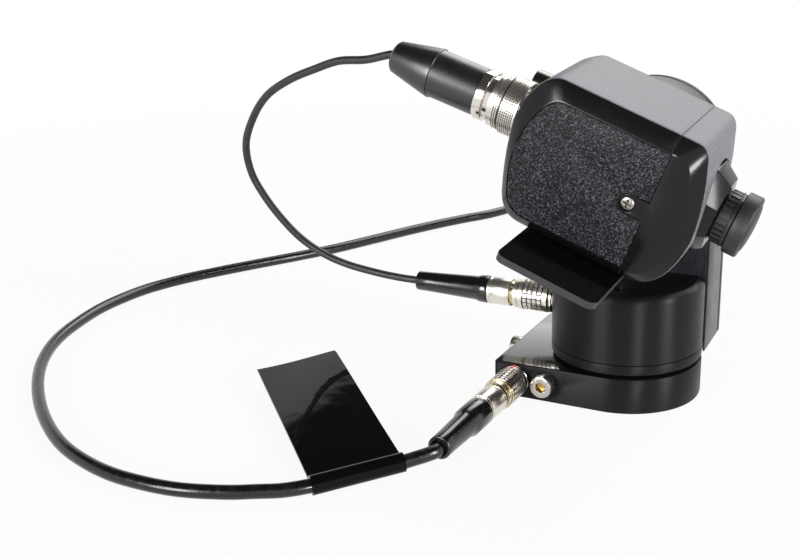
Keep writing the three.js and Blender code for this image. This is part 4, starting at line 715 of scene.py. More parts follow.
def mottled(name, colours, cloud, rough, ends=(0, 1), rough_ends=(0.3, 0.7), **more):
    """A finish whose colour and roughness drift with a noise, called its cloud.

    A noise is its feature size in metres, its detail and its roughness. The colours and the
    roughness change between the two ends of it. More can be a sheen, the noise that the roughness
    follows instead; a relief, a noise with its depth in metres and a strength after it; dust, a
    pattern of specks that the second colour follows instead, as its scale, the speck's inner and
    outer reach and its most; and other inputs of the surface.
    """
    material, place = fresh_material(name)
    tree = material.node_tree
    sheen, relief = more.get("sheen", cloud), more.get("relief")
    noises = dict.fromkeys((cloud, sheen, (relief or cloud)[:3]))
    for noise in noises:
        size, detail, uneven = noise
        inputs = {"Vector": place, "Scale": 1 / size, "Detail": detail, "Roughness": uneven}
        noises[noise] = add_node(tree, "ShaderNodeTexNoise", inputs, "Fac")
    pattern, amount = noises[cloud], (0, 1)
    if "dust" in more:
        scale, ends, most = more["dust"]
        specks = {"Vector": place, "Scale": scale}
        pattern, amount = add_node(tree, "ShaderNodeTexVoronoi", specks, "Distance"), (most, 0)
    share = add_node(tree, "ShaderNodeMapRange", (pattern, *ends, *amount), "Result")
    rough = add_node(tree, "ShaderNodeMapRange", (noises[sheen], *rough_ends, *rough), "Result")
    inputs = {"Roughness": rough, **more.get("inputs", {})}
    return surfaced(material, colours, share, inputs, relief and (noises[relief[:3]], *relief[3:]))


def black_anodised(name, low, high, specular, coat=0.0, painted_light=1.0, drawn=0.0):
    """Machined aluminium, blasted and dyed black: dark, with a clear sheen and specks of dust."""
    # The painted light factor paints the dye paler above one, a painted sheen, and darker below
    # one, a painted shade
    # Dust lies 2.5 mm apart, and each speck is drawn 0.1 mm wide so that it shows
    material = mottled(
        name, (shade("anodised", painted_light), linear("#6a6a6e")), (0.006, 3, 0.5), (low, high),
        dust=(1 / 0.0025, (0.01, 0.035), 0.25), relief=(0.0003, 2, 0.5, 0.000004),
        inputs={
            "Specular IOR Level": specular, "Coat Weight": coat, "Coat Roughness": 0.08,
            "Anisotropic": drawn,
        },
    )
    # Turning marks run round the upright axis and draw each light out into an upright streak
    tree = material.node_tree
    way = add_node(tree, "ShaderNodeCombineXYZ", (0.06, 0.04, 1.0), "Vector")
    tree.links.new(way, tree.nodes["Principled BSDF"].inputs["Tangent"])
    return material


def lit_edge(name):
    """The rubbed edge of dyed aluminium, where the dye is thin, painted paler: partly wear and
    partly a painted highlight, which the camera's coat and panels take too.
    """
    colours = (linear("#1c1c1f"), linear("#8e8e94"))
    ends = (0.4, 0.62)
    metal = {"Metallic": 0.6}
    return mottled(name, colours, (0.0012, 4, 0.7), (0.3, 0.22), ends, ends, inputs=metal)


def brushed_anodised(name):
    """Black anodised aluminium under mill marks: fine diagonal lines catch the light."""
    material, place = fresh_material(name)
    tree = material.node_tree
    turn = {"Vector": place, "Rotation": (0, math.radians(38), 0), "Scale": (1, 1, 0.06)}
    place = add_node(tree, "ShaderNodeMapping", turn, "Vector")
    # Mill marks lie 0.25 mm apart
    marks = {"Vector": place, "Scale": 1 / 0.00025, "Detail": 2, "Distortion": 0.3}
    marks = add_node(tree, "ShaderNodeTexNoise", marks, "Fac")
    share = add_node(tree, "ShaderNodeMapRange", (marks, 0.35, 0.7, 0, 1), "Result")
    rough = add_node(tree, "ShaderNodeMapRange", (marks, 0.3, 0.7, 0.28, 0.5), "Result")
    inputs = {"Roughness": rough, "Specular IOR Level": 0.25}
    colours = (shade("anodised"), linear("#26262e"))
    return surfaced(material, colours, share, inputs, (marks, 0.00002))


def grained_sheen_shell(name):
    """Zinc housing under a grained powder coat: satin, with a sandy grain of about 0.4 mm. Its grey
    is paler than the coat itself, a painted sheen of the light from above.
    """
    grain = (0.0004, 3, 0.7)
    return mottled(
        name, (shade("shell", 0.55), shade("shell", 1.45)), grain, (0.4, 0.6), (0.36, 0.64),
        relief=(*grain, 0.00004), inputs={"Specular IOR Level": 0.45},
    )


def shaded_bevel_coat(name):
    """The same coat painted near black for the bevels and flat sides, a painted shade where they
    face away from the light; it keeps a clear highlight.
    """
    fine = (0.0004, 2, 0.5)
    return mottled(
        name, (shade("rim", 0.85), shade("rim", 1.15)), fine, (0.16, 0.2),
        sheen=(0.004, 3, 0.5), relief=(*fine, 0.000003), inputs={"Specular IOR Level": 0.25},
    )


def sparkle_panel(name):
    """Charcoal powder coat with metal flecks: a sandy grain in which many fine points glint."""
    material, place = fresh_material(name)
    tree = material.node_tree
    # Flecks are drawn 0.28 mm wide, coarser than real ones, so that they show
    cells = add_node(tree, "ShaderNodeTexVoronoi", {"Vector": place, "Scale": 3600}, "Color")
    cells = add_node(tree, "ShaderNodeSeparateColor", {"Color": cells}).outputs
    # Clouds of 0.8 mm thin the flecks out here and there
    cloud = {"Vector": place, "Scale": 1 / 0.0008, "Detail": 3, "Roughness": 0.6}
    cloud = add_node(tree, "ShaderNodeTexNoise", cloud, "Fac")
    many = add_node(tree, "ShaderNodeMapRange", (cloud, 0.4, 0.62, 0.45, 1), "Result")
    glint = add_node(tree, "ShaderNodeMapRange", (cells["Red"], 0.2, 1, 0, 1), "Result")
    glint = add_node(tree, "ShaderNodeMath", (glint, 3.2), 0, operation="POWER")
    share = add_node(tree, "ShaderNodeMath", (glint, many), 0, operation="MULTIPLY")
    rough = add_node(tree, "ShaderNodeMapRange", (cells["Green"], 0, 1, 0.36, 0.62), "Result")
    inputs = {"Roughness": rough, "Specular IOR Level": 0.12}
    colours = (shade("panel"), shade("sparkle"))
    return surfaced(material, colours, share, inputs, (cells["Blue"], 0.00003))


def plain_metal(name, colour, dark, pale, cloud, rough, **more):
    """A bare or plated metal in a darker and a paler shade."""
    colours = (shade(colour, dark), shade(colour, pale))
    return mottled(name, colours, cloud, rough, inputs={"Metallic": 1.0}, **more)


def nickel_plate(name, low, high, factor=1.0):
    """Nickel plate over turned brass: a bright, slightly warm metal with an even sheen."""
    cloud = (0.008, 2, 0.5)
    return plain_metal(name, "nickel", 0.95 * factor, 1.03 * factor, cloud, (low, high))


def gold_flash(name):
    """Thin gold flash over nickel: a warm ring behind the knurl."""
    return plain_metal(name, "gold", 0.85, 1.1, (0.002, 2, 0.5), (0.18, 0.3))


def stainless(name, low=0.22, high=0.36):
    """Turned stainless steel: grey and slightly warm, with faint turning marks of 0.25 mm."""
    marks = (0.00025, 2, 0.5, 0.000003)
    return plain_metal(name, "steel", 0.82, 1.05, (0.0015, 3, 0.5), (low, high), relief=marks)


def turned_brass(name):
    """Plain turned brass of the bushes and gears: yellow, with a dull sheen."""
    return plain_metal(name, "brass", 0.8, 1.1, (0.001, 3, 0.5), (0.28, 0.42))


def moulded_rubber(name, low, high, depth, specular):
    """Moulded rubber boot, wiped shiny: black with a clear streak of light."""
    return mottled(
        name, (shade("rubber", 0.8), shade("rubber", 1.3)), (0.003, 3, 0.5), (low, high),
        relief=(0.0012, 3, 0.5, depth), inputs={"Specular IOR Level": specular},
    )


def moulded_plastic(name):
    """Moulded black polycarbonate of the lens cap: matt, with a spark-eroded grain of 0.2 mm."""
    grain = (0.0002, 3, 0.5)
    colours = (shade("cap", 0.8), shade("cap", 1.3))
    return mottled(name, colours, grain, (0.4, 0.55), relief=(*grain, 0.00001))


def cable_jacket(name, colour, low, high):
    """Extruded cable jacket, with a faint orange-peel skin and fine scuffs."""
    ends = (0.45, 0.7)
    return mottled(
        name, (shade(colour), shade(colour, 1.8)), (0.0018, 5, 0.65), (low, high), ends, ends,
        relief=(0.0009, 2, 0.5, 0.000012),
    )


def glossy_tape(name):
    """Vinyl tape: glossy black with a soft ripple from the layers below and pale dust."""
    # Dust lies about 1.5 mm apart, and each speck is drawn 0.15 mm wide so that it shows
    return mottled(
        name, (shade("tape"), linear("#6e6e74")), (0.004, 4, 0.5), (0.03, 0.06),
        dust=(650, (0.02, 0.07), 0.35), relief=(0.014, 2, 0.5, 0.0002, 0.4),
        inputs={"Specular IOR Level": 0.12},
    )


def enamel_mark(name):
    """Red enamel of the alignment marks: bright and satin."""
    colours = (shade("mark", 0.85), shade("mark"))
    return mottled(name, colours, (0.0005, 2, 0.5), (0.35, 0.35))


def coated_glass(name):
    """Lens glass with a dark anti-glare coat: near black, with a sharp reflection."""
    colours = (shade("glass"), shade("glass", 1.5))
    return mottled(name, colours, (0.003, 2, 0.5), (0.05, 0.05), inputs={"Coat Weight": 1.0})


def fibreglass_board(name):
    """Green solder mask over woven glass: satin, with a weave of 0.5 mm."""
    weave = (0.0005, 2, 0.5)
    colours = (shade("board", 0.8), shade("board", 1.2))
    return mottled(name, colours, weave, (0.35, 0.35), relief=(*weave, 0.00001))


MAKERS = {
    "anodised": lambda name: black_anodised(name, 0.38, 0.44, 0.16, drawn=0.9),
    "anodised_rim": lambda name: black_anodised(name, 0.26, 0.36, 0.45),
    # The bracket's top is painted darker, a painted shade under the camera; its other faces four
    # times paler, a painted sheen
    "anodised_smooth": lambda name: black_anodised(name, 0.12, 0.16, 0.16, painted_light=0.6),
    "anodised_side": lambda name: black_anodised(name, 0.36, 0.46, 0.5, painted_light=4.0),
    "anodised_gloss": lambda name: black_anodised(name, 0.1, 0.14, 0.6, coat=1.0),
    "anodised_edge": lit_edge,
    "anodised_milled": brushed_anodised,
    # The camera's coat in a grey copy, painted sheen, and a near-black copy, painted shade
    "shell_coat": grained_sheen_shell,
    "rim_coat": shaded_bevel_coat,
    "panel_coat": sparkle_panel,
    "nickel_bright": lambda name: nickel_plate(name, 0.13, 0.17),
    "nickel_satin": lambda name: nickel_plate(name, 0.26, 0.32),
    # Dark nickel on knurl floors and screw slots, a painted shade in the recesses
    "nickel_groove": lambda name: nickel_plate(name, 0.4, 0.5, 0.14),
    "nickel_dark": lambda name: nickel_plate(name, 0.2, 0.26, 0.22),
    "screw_steel": lambda name: nickel_plate(name, 0.3, 0.38, 0.42),
    "gold_flash": gold_flash,
    "stainless": stainless,
    "blacked_steel": lambda name: stainless(name, 0.3, 0.45),
    "plain_brass": turned_brass,
    "boot_rubber": lambda name: moulded_rubber(name, 0.14, 0.2, 0.000004, 0.7),
    "boot_rubber_matt": lambda name: moulded_rubber(name, 0.3, 0.36, 0.000002, 0.9),
    "cap_plastic": moulded_plastic,
    "link_jacket": lambda name: cable_jacket(name, "link", 0.42, 0.58),
    "data_jacket": lambda name: cable_jacket(name, "data", 0.18, 0.34),
    "vinyl_tape": glossy_tape,
    "red_enamel": enamel_mark,
    "lens_glass": coated_glass,
    "board": fibreglass_board,
}


def finish(name):
    """The named finish, made the first time it is asked for."""
    return bpy.data.materials.get(name) or MAKERS[name](name)


# Paths of the cables


def smooth_path(points, per=8):
    """Points on a centripetal Catmull-Rom curve through the given points."""
    points = [Vector(p) for p in points]
    ends = [2 * points[0] - points[1]] + points + [2 * points[-1] - points[-2]]
    made = []
    for a, b, c, d in zip(ends, ends[1:], ends[2:], ends[3:]):
        t1 = (b - a).length ** 0.5
        t2 = t1 + (c - b).length ** 0.5
        t3 = t2 + (d - c).length ** 0.5
        for step in range(per):
            t = t1 + (t2 - t1) * step / per
            a1 = a * (t1 - t) / t1 + b * t / t1
            a2 = b * (t2 - t) / (t2 - t1) + c * (t - t1) / (t2 - t1)
            a3 = c * (t3 - t) / (t3 - t2) + d * (t - t2) / (t3 - t2)
            b1 = a1 * (t2 - t) / t2 + a2 * t / t2
            b2 = a2 * (t3 - t) / (t3 - t1) + a3 * (t - t1) / (t3 - t1)
            made.append(b1 * (t2 - t) / (t2 - t1) + b2 * (t - t1) / (t2 - t1))
    return made + [points[-1]]


def cable_curve(name, points, radius):
    """A round cable along a path, as a curve of one open spline."""
    data = bpy.data.curves.new(name, "CURVE")
    data.dimensions = "3D"
    data.bevel_depth = radius
    data.bevel_resolution = 5
    data.use_fill_caps = True
    spline = data.splines.new("POLY")
    spline.points.add(len(points) - 1)
    for point, place in zip(spline.points, points):
        point.co = (*place, 1)
    spline.use_smooth = True
    piece = bpy.data.objects.new(name, data)
    bpy.context.collection.objects.link(piece)
    return piece


def plug_places(size):
    """Places along a plug, from its socket's face backwards."""
    plug = sizes().plug
    front = -plug.socket_rise - plug.fit
    knurl_rear = front - size.knurl
    sleeve_rear = knurl_rear - size.rear_band
    collar_front = sleeve_rear - plug.travel - plug.fit
    collar_rear = collar_front - size.collar
    boot_front = collar_rear - plug.fit
    return {
        "front": front, "knurl_rear": knurl_rear, "sleeve_rear": sleeve_rear,
        "collar_front": collar_front, "collar_rear": collar_rear, "boot_front": boot_front,
        "boot_end": boot_front - size.boot,
    }


# The slim cable's hanging loop, in millimetres in the panned head's frame
LINK_ROUTE = [
    (-77, -20, 101), (-87, -19, 100), (-96, -18, 97), (-106, -17, 93), (-116, -15, 87),
    (-123, -13, 79), (-127, -12, 70), (-127, -10, 60), (-124, -8, 52), (-119, -6, 44),
    (-113, -4, 37), (-105, -3, 32), (-97, -2, 29), (-87, -1, 27), (-79, -0.3, 26),
]

# The data cable's route to its coil, in millimetres, as [x, y, lift above lying]
DATA_ROUTE = [
    (-32.8, -84.8, 3), (-36.1, -88.9, 2.5), (-41.2, -94.2, 1.9), (-46, -99.4, 1.5),
    (-50.8, -104.8, 1.2), (-56.5, -108.8, 0.6), (-63, -111.8, 0.25), (-69.5, -114.9, 0.05),
    (-83.6, -119.4, 0), (-100.7, -120.2, 0), (-111.2, -118.5, 0), (-123.3, -114.5, 0),
    (-132.1, -110.2, 0), (-141.4, -104.2, 0), (-152.4, -95.7, 0), (-163.1, -85.9, 0),
    (-171.1, -77.4, 0), (-179.8, -66.4, 0), (-187, -54.5, 0), (-191.7, -43.5, 0),
    (-194.6, -33.2, 0), (-197.4, -17.8, 0), (-197.4, -3.9, 0), (-195.5, 8.9, 0), (-190, 23.7, 0),
    (-182.7, 37.3, 0), (-174.6, 50.8, 0), (-164, 67.8, 0), (-155.6, 82.4, 0), (-147.6, 99.8, 0),
    (-139.4, 118.2, 0), (-132.6, 131.9, 0), (-125.2, 145.1, 0), (-117.5, 157.4, 0),
]
MM = 0.001
COIL_STEPS = 20
TAIL_STEPS = 4
# The tape flag hangs at the middle between these two points of the data cable's route
FLAG_BETWEEN = (0, 4)


def link_path():
    """The slim cable's path, from the camera's plug to the drum's plug."""
    rear, link, plug = sizes().rear, sizes().link, sizes().plug
    place = rear_frame(rear.power_along, rear.power_up)
    start = place @ Vector((rear.boot_end - plug.fit, 0, 0))
    back = (place.to_3x3() @ Vector((-1, 0, 0))).normalized()
    head, boot_end = sizes().head, plug_places(link)["boot_end"]
    end = Vector((-head.drum_radius + boot_end - plug.fit, 0, head.link_height))
    lead = 2 * link.cable
    route = [head_frame() @ (Vector(p) * MM) for p in LINK_ROUTE]
    tail = [head_frame() @ (end + Vector((-lead, 0, 0))), head_frame() @ end]
    return smooth_path([start, start + back * lead * 0.3, *route, *tail])


def coil_start():
    """Where the coil's straight lead begins."""
    cord = sizes().cord
    start_y = cord.coil_y - 2 * cord.coil_straight
    return Vector((cord.coil_x - cord.coil_outer, start_y, sizes().data.cable))


def coil_path():
    """The coil, inwards along its lower layer and out along its upper one, and then its tail."""
    cord, low = sizes().cord, sizes().data.cable
    inner = cord.coil_outer - cord.coil_pitch * cord.coil_turns

    def at(turn, radius, height):
        a = math.pi - math.tau * turn
        across = Vector((math.cos(a), math.sin(a), 0)) * radius
        return Vector((cord.coil_x, cord.coil_y, height)) + across

    points = [coil_start(), coil_start() + Vector((0, cord.coil_straight, 0))]
    for i in range(cord.coil_turns * COIL_STEPS + 1):
        points.append(at(i / COIL_STEPS, cord.coil_outer - cord.coil_pitch * i / COIL_STEPS, low))
    for i in range(1, COIL_STEPS // 2 + 1):
        share = i / (COIL_STEPS / 2)
        radius = inner - cord.coil_dip * math.sin(math.pi * share)
        points.append(at(cord.coil_turns + share / 2, radius, low + cord.coil_rise * share))
    out = cord.coil_turns + 0.5
    for i in range(1, cord.coil_turns * COIL_STEPS + 1):
        radius = inner + cord.coil_pitch * i / COIL_STEPS
        points.append(at(out + i / COIL_STEPS, radius, low + cord.coil_rise))
    last = points[-1]
    away = Vector((0, -1, 0))
    drop = cord.far_height - last.z
    settle = cord.coil_tail - 2 * cord.coil_straight
    for i in range(1, TAIL_STEPS + 1):
        share = i / TAIL_STEPS
        point = last + away * (cord.coil_straight + settle * share)
        point.z = last.z + drop * share * share * (3 - 2 * share)
        points.append(point)
    end = last + away * cord.coil_tail
    end.z = cord.far_height
    return points + [end]


def data_path():
    """The data cable's whole path, from the base's plug through the coil to the far plug."""
    data, cord, plug = sizes().data, sizes().cord, sizes().plug
    exit_point = data_frame() @ Vector((plug_places(data)["boot_end"] - plug.fit, 0, 0))
    route = [Vector((x * MM, y * MM, data.cable + lift * MM)) for x, y, lift in DATA_ROUTE]
    lead = [exit_point, exit_point + Vector((0, -data.cable, 0)), *route]
    lead.append(coil_start() + Vector((0, -2 * cord.coil_straight, 0)))
    return smooth_path([*lead, coil_start()], 8)[:-1] + smooth_path(coil_path(), 3)


def far_frame():
    """The far plug's frame, at the end of the coil's tail: X points back out of the plug."""
    end = coil_path()[-1]
    back = Vector((0, -1, 0)) * (-plug_places(sizes().data)["boot_end"] + sizes().plug.fit)
    return Matrix.Translation(end + back) @ QUARTER_RIGHT


# Operators

# The eye of the photograph: its place in metres, its turn in degrees, its lens and its shift
EYE_PLACE = (0.11309, -0.35038, 0.15826)
EYE_TURN = (71.011, 1.381, 27.609)
EYE_LENS = 56.48
EYE_SHIFT = (-0.0185, 0.012)
EYE_NEAREST = 0.01


class PANHEAD_OT_view(Operator):
    """Add the camera that looks as the photograph does"""

    bl_idname = "panhead.view"
    bl_label = "Camera"

    def execute(self, context):
        data = bpy.data.cameras.new("Photograph")
        data.lens = EYE_LENS
        data.shift_x, data.shift_y = EYE_SHIFT
        data.clip_start = EYE_NEAREST
        eye = bpy.data.objects.new("Photograph", data)
        context.collection.objects.link(eye)
        eye.location = EYE_PLACE
        eye.rotation_euler = [math.radians(a) for a in EYE_TURN]
        context.scene.camera = eye
        return {"FINISHED"}


class PANHEAD_OT_link_cable(Operator):
    """Add the slim cable that loops from the camera to the drum"""

    bl_idname = "panhead.link_cable"
    bl_label = "Slim cable"

    def execute(self, context):
        link = sizes().link
        path = link_path()
        piece = cable_curve("slim_cable", path, link.cable)
        only(piece)
        bpy.ops.object.convert(target="MESH")
        piece = context.object
        piece.data.materials.clear()
        piece.data.materials.append(finish("link_jacket"))
        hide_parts("link_cable")
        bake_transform(piece)
        return {"FINISHED"}


class PANHEAD_OT_data_cable(Operator):
    """Add the data cable, its coil and all that is on it"""

    bl_idname = "panhead.data_cable"
    bl_label = "Data cable"

    def execute(self, context):
        data = sizes().data
        path = data_path()
        piece = cable_curve("data_lead", path, data.cable)
        piece.data.materials.append(finish("data_jacket"))
        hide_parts("data_cable", "data_cable_coil")
        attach(piece, "base")
        flag = self.flag()
        far = plug_pieces("far", far_frame(), data, "base", "far_plug_latch")
        return {"FINISHED"}

    def flag(self):
        """The tape flag: once round the cable, its two plies pressed together."""
        cord, cable = sizes().cord, sizes().data.cable
        loose, ripple, steps, strips = 0.0002, 0.0005, 12, 8
        outside = cable + cord.flag_wrap + loose
        ply, rise, end = cord.flag_ply, cord.flag_rise, cord.flag_length
        lean = math.degrees(math.asin(2 * ply / outside))
        along = [outside + (end - outside) * i / steps for i in range(1, steps)]
        low = [(x, rise * (x - outside) / (end - outside)) for x in along]
        outline = arc(0, 0, outside, lean, 360, 40) + low
        outline += [(end + cord.flag_longer, rise), (end + cord.flag_longer, rise + ply)]
        outline += [(end, rise + ply), (end, rise + 2 * ply)]
        outline += [(x, z + 2 * ply) for x, z in reversed(low)]
        rings = []
        for i in range(strips + 1):
            y = cord.flag_width * (i / strips - 0.5)
            ring = []
            for x, z in outline:
                share = max(0.0, (x - outside) / end)
                wave = ripple * share * math.sin(3.0 * y / cord.flag_width + 4 * share)
                ring.append(Vector((x, y + cord.flag_skew * x, z + wave)))
            rings.append(ring)
        piece = lofted("tape_flag", rings)
        first, last = [
            Vector((x * MM, y * MM, cable + lift * MM))
            for x, y, lift in (DATA_ROUTE[i] for i in FLAG_BETWEEN)
        ]
        along = (last - first).normalized()
        across = along.cross(Vector((0, 0, 1))).normalized()
        up = across.cross(along)
        turn = Matrix((across, along, up)).transposed().to_4x4()
        place = Matrix.Translation((first + last) / 2) @ turn
        return settled(piece, place, "base", ["vinyl_tape"], ["label_flag"], 50)


def plug_pieces(tag, place, size, body, latch):
    """One plug: its collared body, its knurled sliding sleeve and its rubber boot."""
    plug, at = sizes().plug, plug_places(size)
    shoulder = at["front"] - 0.004
    front, rear = at["collar_front"], at["collar_rear"]
    # A fine line is turned into the collar near its rear
    line, line_end, sunk = rear + 0.0012, rear + 0.0008, plug.collar - 0.00015
    core = turned(
        f"{tag}_core",
        [
            (plug.nose_length, 0), (plug.nose_length, plug.nose), (shoulder, plug.nose),
            (shoulder, plug.neck), (front, plug.neck), (front, plug.collar), (line, plug.collar),
            (line, sunk), (line_end, sunk), (line_end, plug.collar), (rear, plug.collar), (rear, 0),
        ],
    )
    painted(core, 1, lambda c, n: c.x > front - MARGIN)
    eased(core, 0.00015)
    finishes = ["nickel_satin", "gold_flash"]
    core = settled(core, place, body, finishes, [f"{tag}_plug_body"])

    sleeve = knurled_sleeve(tag, size)
    finishes = ["nickel_satin", "gold_flash", "nickel_groove"]
    sleeve = settled(sleeve, place, latch, finishes, [f"{tag}_plug_sleeve"])

    # The boot's front is straight for half its length and then draws in to the waist
    front, end = at["boot_front"], at["boot_end"]
    shoulder = front - size.shoulder
    step = plug.collar - size.waist
    hollow = size.cable + 0.0004
    boot = turned(
        f"{tag}_boot",
        [
            (front, 0), (front, plug.collar), (front - size.shoulder * 0.5, plug.collar),
            (shoulder, plug.collar - step * 0.12), (shoulder - 1.6 * step, size.waist + step * 0.2),
            (shoulder - 3.2 * step, size.waist - 0.00004),
            (end + 0.004, size.end + (size.waist - size.end) * 0.1), (end, size.end), (end, hollow),
            (end + 0.0035, hollow - 0.0002), (end + 0.0035, 0),
        ],
    )
    eased(boot, 0.0003, 3, 40)
    boot = settled(boot, place, body, ["boot_rubber"], [f"{tag}_plug_boot"], 40)
    return [core, sleeve, boot]


def knurled_sleeve(tag, size):
    """The sliding sleeve: a smooth lip, rows of square teeth and a smooth rear band."""
    plug, at = sizes().plug, plug_places(size)
    bore = plug.neck + plug.fit
    low = plug.sleeve - plug.depth
    broken = 0.0002
    lip = at["front"] - 0.0016
    rows = int((lip - at["knurl_rear"] - plug.groove) / plug.tooth)
    profile = [(at["front"], bore), (at["front"], plug.sleeve - broken)]
    profile += [(at["front"] - broken, plug.sleeve), (lip, plug.sleeve), (lip, low)]
    teeth = []
    for row in range(rows):
        start = lip - plug.groove - row * plug.tooth
        end = start - plug.tooth + plug.groove
        teeth.append((end, start))
        profile += [(start, low), (end, low)]
    rear_step = teeth[-1][0] - plug.groove
    gold, band_high = at["knurl_rear"], plug.band + 0.0001
    gold_end = gold - 0.0005
    profile += [(rear_step, low), (rear_step, plug.sleeve), (gold, plug.sleeve), (gold, plug.band)]
    profile += [(gold_end, plug.band), (gold_end, band_high)]
    profile += [(at["sleeve_rear"], band_high), (at["sleeve_rear"], bore)]
    sides = 3 * plug.around
    piece = turned(f"{tag}_sleeve", profile, sides, closed=True)
    knurled(piece, sides, teeth, bore, plug.sleeve / low)
    # The gold line behind the teeth, and the floor between them painted dark, a painted shade
    near, floor = 0.00002, low + 0.00003
    outer = bore + MARGIN
    painted(piece, 1, lambda c, n: gold_end - near < c.x < gold + near and off_axis(c) > outer)
    painted(piece, 2, lambda c, n: rear_step < c.x < lip and outer < off_axis(c) < floor)
    return piece


class PANHEAD_OT_base(Operator):
    """Add the base block and its cap screws"""

    bl_idname = "panhead.base"
    bl_label = "Base"

    def execute(self, context):
        base = sizes().base
        left, right = [(-base.reach, side * base.radius) for side in (-1, 1)]
        outline = [left] + arc(0, 0, base.radius, -90, 90, 48) + [right]
        block = lying("base_block", outline, 0, base.thickness)
        fit, half = base.cover_fit, base.cover_half + base.cover_fit
        recess = rounded_rectangle(
            -base.cover_left - fit, base.cover_right + fit, -half, half, base.cover_corner + fit
        )
        cut(block, lying("recess", recess, -PAST, base.cover_depth))
        for y in (base.mount_y, -base.mount_y):
            low, high = (base.mount_x, y, -PAST), (base.mount_x, y, base.mount_depth)
            cut(block, rod(low, high, base.mount_radius))
        for x, z, inner_end, radius in (
            (base.port_x, base.port_z, -0.012, sizes().plug.socket - 0.0006),
            (base.screw_x, base.screw_z, -0.018, 0.0023),
        ):
            cut(block, rod((x, -base.radius - PAST, z), (x, inner_end, z), radius))
        eased(block, base.edge, lit=True)
        painted(block, 2, lambda c, n: n.z > 0.99 and c.z > base.thickness - MARGIN / 2)
        finishes = ["anodised", "anodised_edge", "anodised_gloss"]
        settled(block, Matrix(), "base", finishes, ["base_plate"])
        self.screws()
        return {"FINISHED"}

    def screws(self):
        """The two socket cap screws, head and shank, turned and broached."""
        base = sizes().base
        rise, head = base.screw_rise, base.screw_head
        shank, end = 0.002, rise + 0.0045
        screw = turned(
            "front_cap_screw",
            [
                (0, 0), (0, head - 0.0004), (0.00012, head - 0.00015), (0.0005, head), (rise, head),
                (rise, shank), (end, shank), (end, 0),
            ],
        )
        cut(screw, rod((-PAST, 0, 0), (base.screw_hex_depth, 0, 0), base.screw_hex, 6))
        eased(screw, 0.00012, sharper=45)
        # The hex socket is painted brass, darker than the steel, a painted shade in the recess
        hexagon = base.screw_hex * 1.02
        painted(screw, 1, lambda c, n: off_axis(c) < hexagon and MARGIN < c.x < rise)
        side = copied(screw, "side_cap_screw")
        finishes = ["stainless", "plain_brass"]
        proud = rise + base.screw_seat
        place = Matrix.Translation((base.screw_x, -base.radius - proud, base.screw_z))
        settled(screw, place @ QUARTER_LEFT, "base", finishes, ["base_front_screw"])
        place = Matrix.Translation((-base.reach - proud, base.screw_y, base.screw_z))
        settled(side, place, "base", finishes, ["base_side_screw"])


class PANHEAD_OT_ports(Operator):
    """Add the two round sockets and the plugs in them"""

    bl_idname = "panhead.ports"
    bl_label = "Ports and plugs"

    def execute(self, context):
        for tag, place, size, body, latch in (
            ("data", data_frame(), sizes().data, "base", "data_plug_latch"),
            ("link", link_frame(), sizes().link, "pan_head", "link_plug_latch"),
        ):
            self.socket(tag, place, body)
            plug_pieces(tag, place, size, body, latch)
        plug, front = sizes().plug, plug_places(sizes().data)["front"]
        ring, sleeve, small = plug.socket - 0.00008, plug.sleeve - 0.00005, plug.mark * 0.7
        for name, body, along, radius, size in (
            ("socket_mark", "base", -0.0009, ring, plug.mark),
            ("sleeve_mark", "data_plug_latch", front - 0.0011, sleeve, small),
        ):
            self.mark(name, data_frame(), body, along, radius, size)
        return {"FINISHED"}

    def socket(self, tag, place, body):
        """The socket's ring and barrel."""
        plug = sizes().plug
        face, edge, tube, floor, end = -plug.socket_rise, 0.0003, 0.004, 0.008, 0.012
        ring = turned(
            f"{tag}_port",
            [
                (face, plug.bore), (face, plug.socket - edge), (face + edge, plug.socket),
                (-plug.fit, plug.socket), (-plug.fit, tube), (end, tube), (end, 0), (floor, 0),
                (floor, plug.bore),
            ],
            closed=True,
        )
        eased(ring, 0.0001)
        settled(ring, place, body, ["nickel_bright"], [f"{tag}_socket"])

    def mark(self, name, place, body, along, radius, size):
        """A small red enamel dot let into the top of a ring."""
        sunk, proud = 0.0002, 0.0001
        dot = rod((along, 0, radius - sunk), (along, 0, radius + proud), size, 24)
        dot.name = dot.data.name = name
        eased(dot, 0.00005)
        settled(dot, place, body, ["red_enamel"])


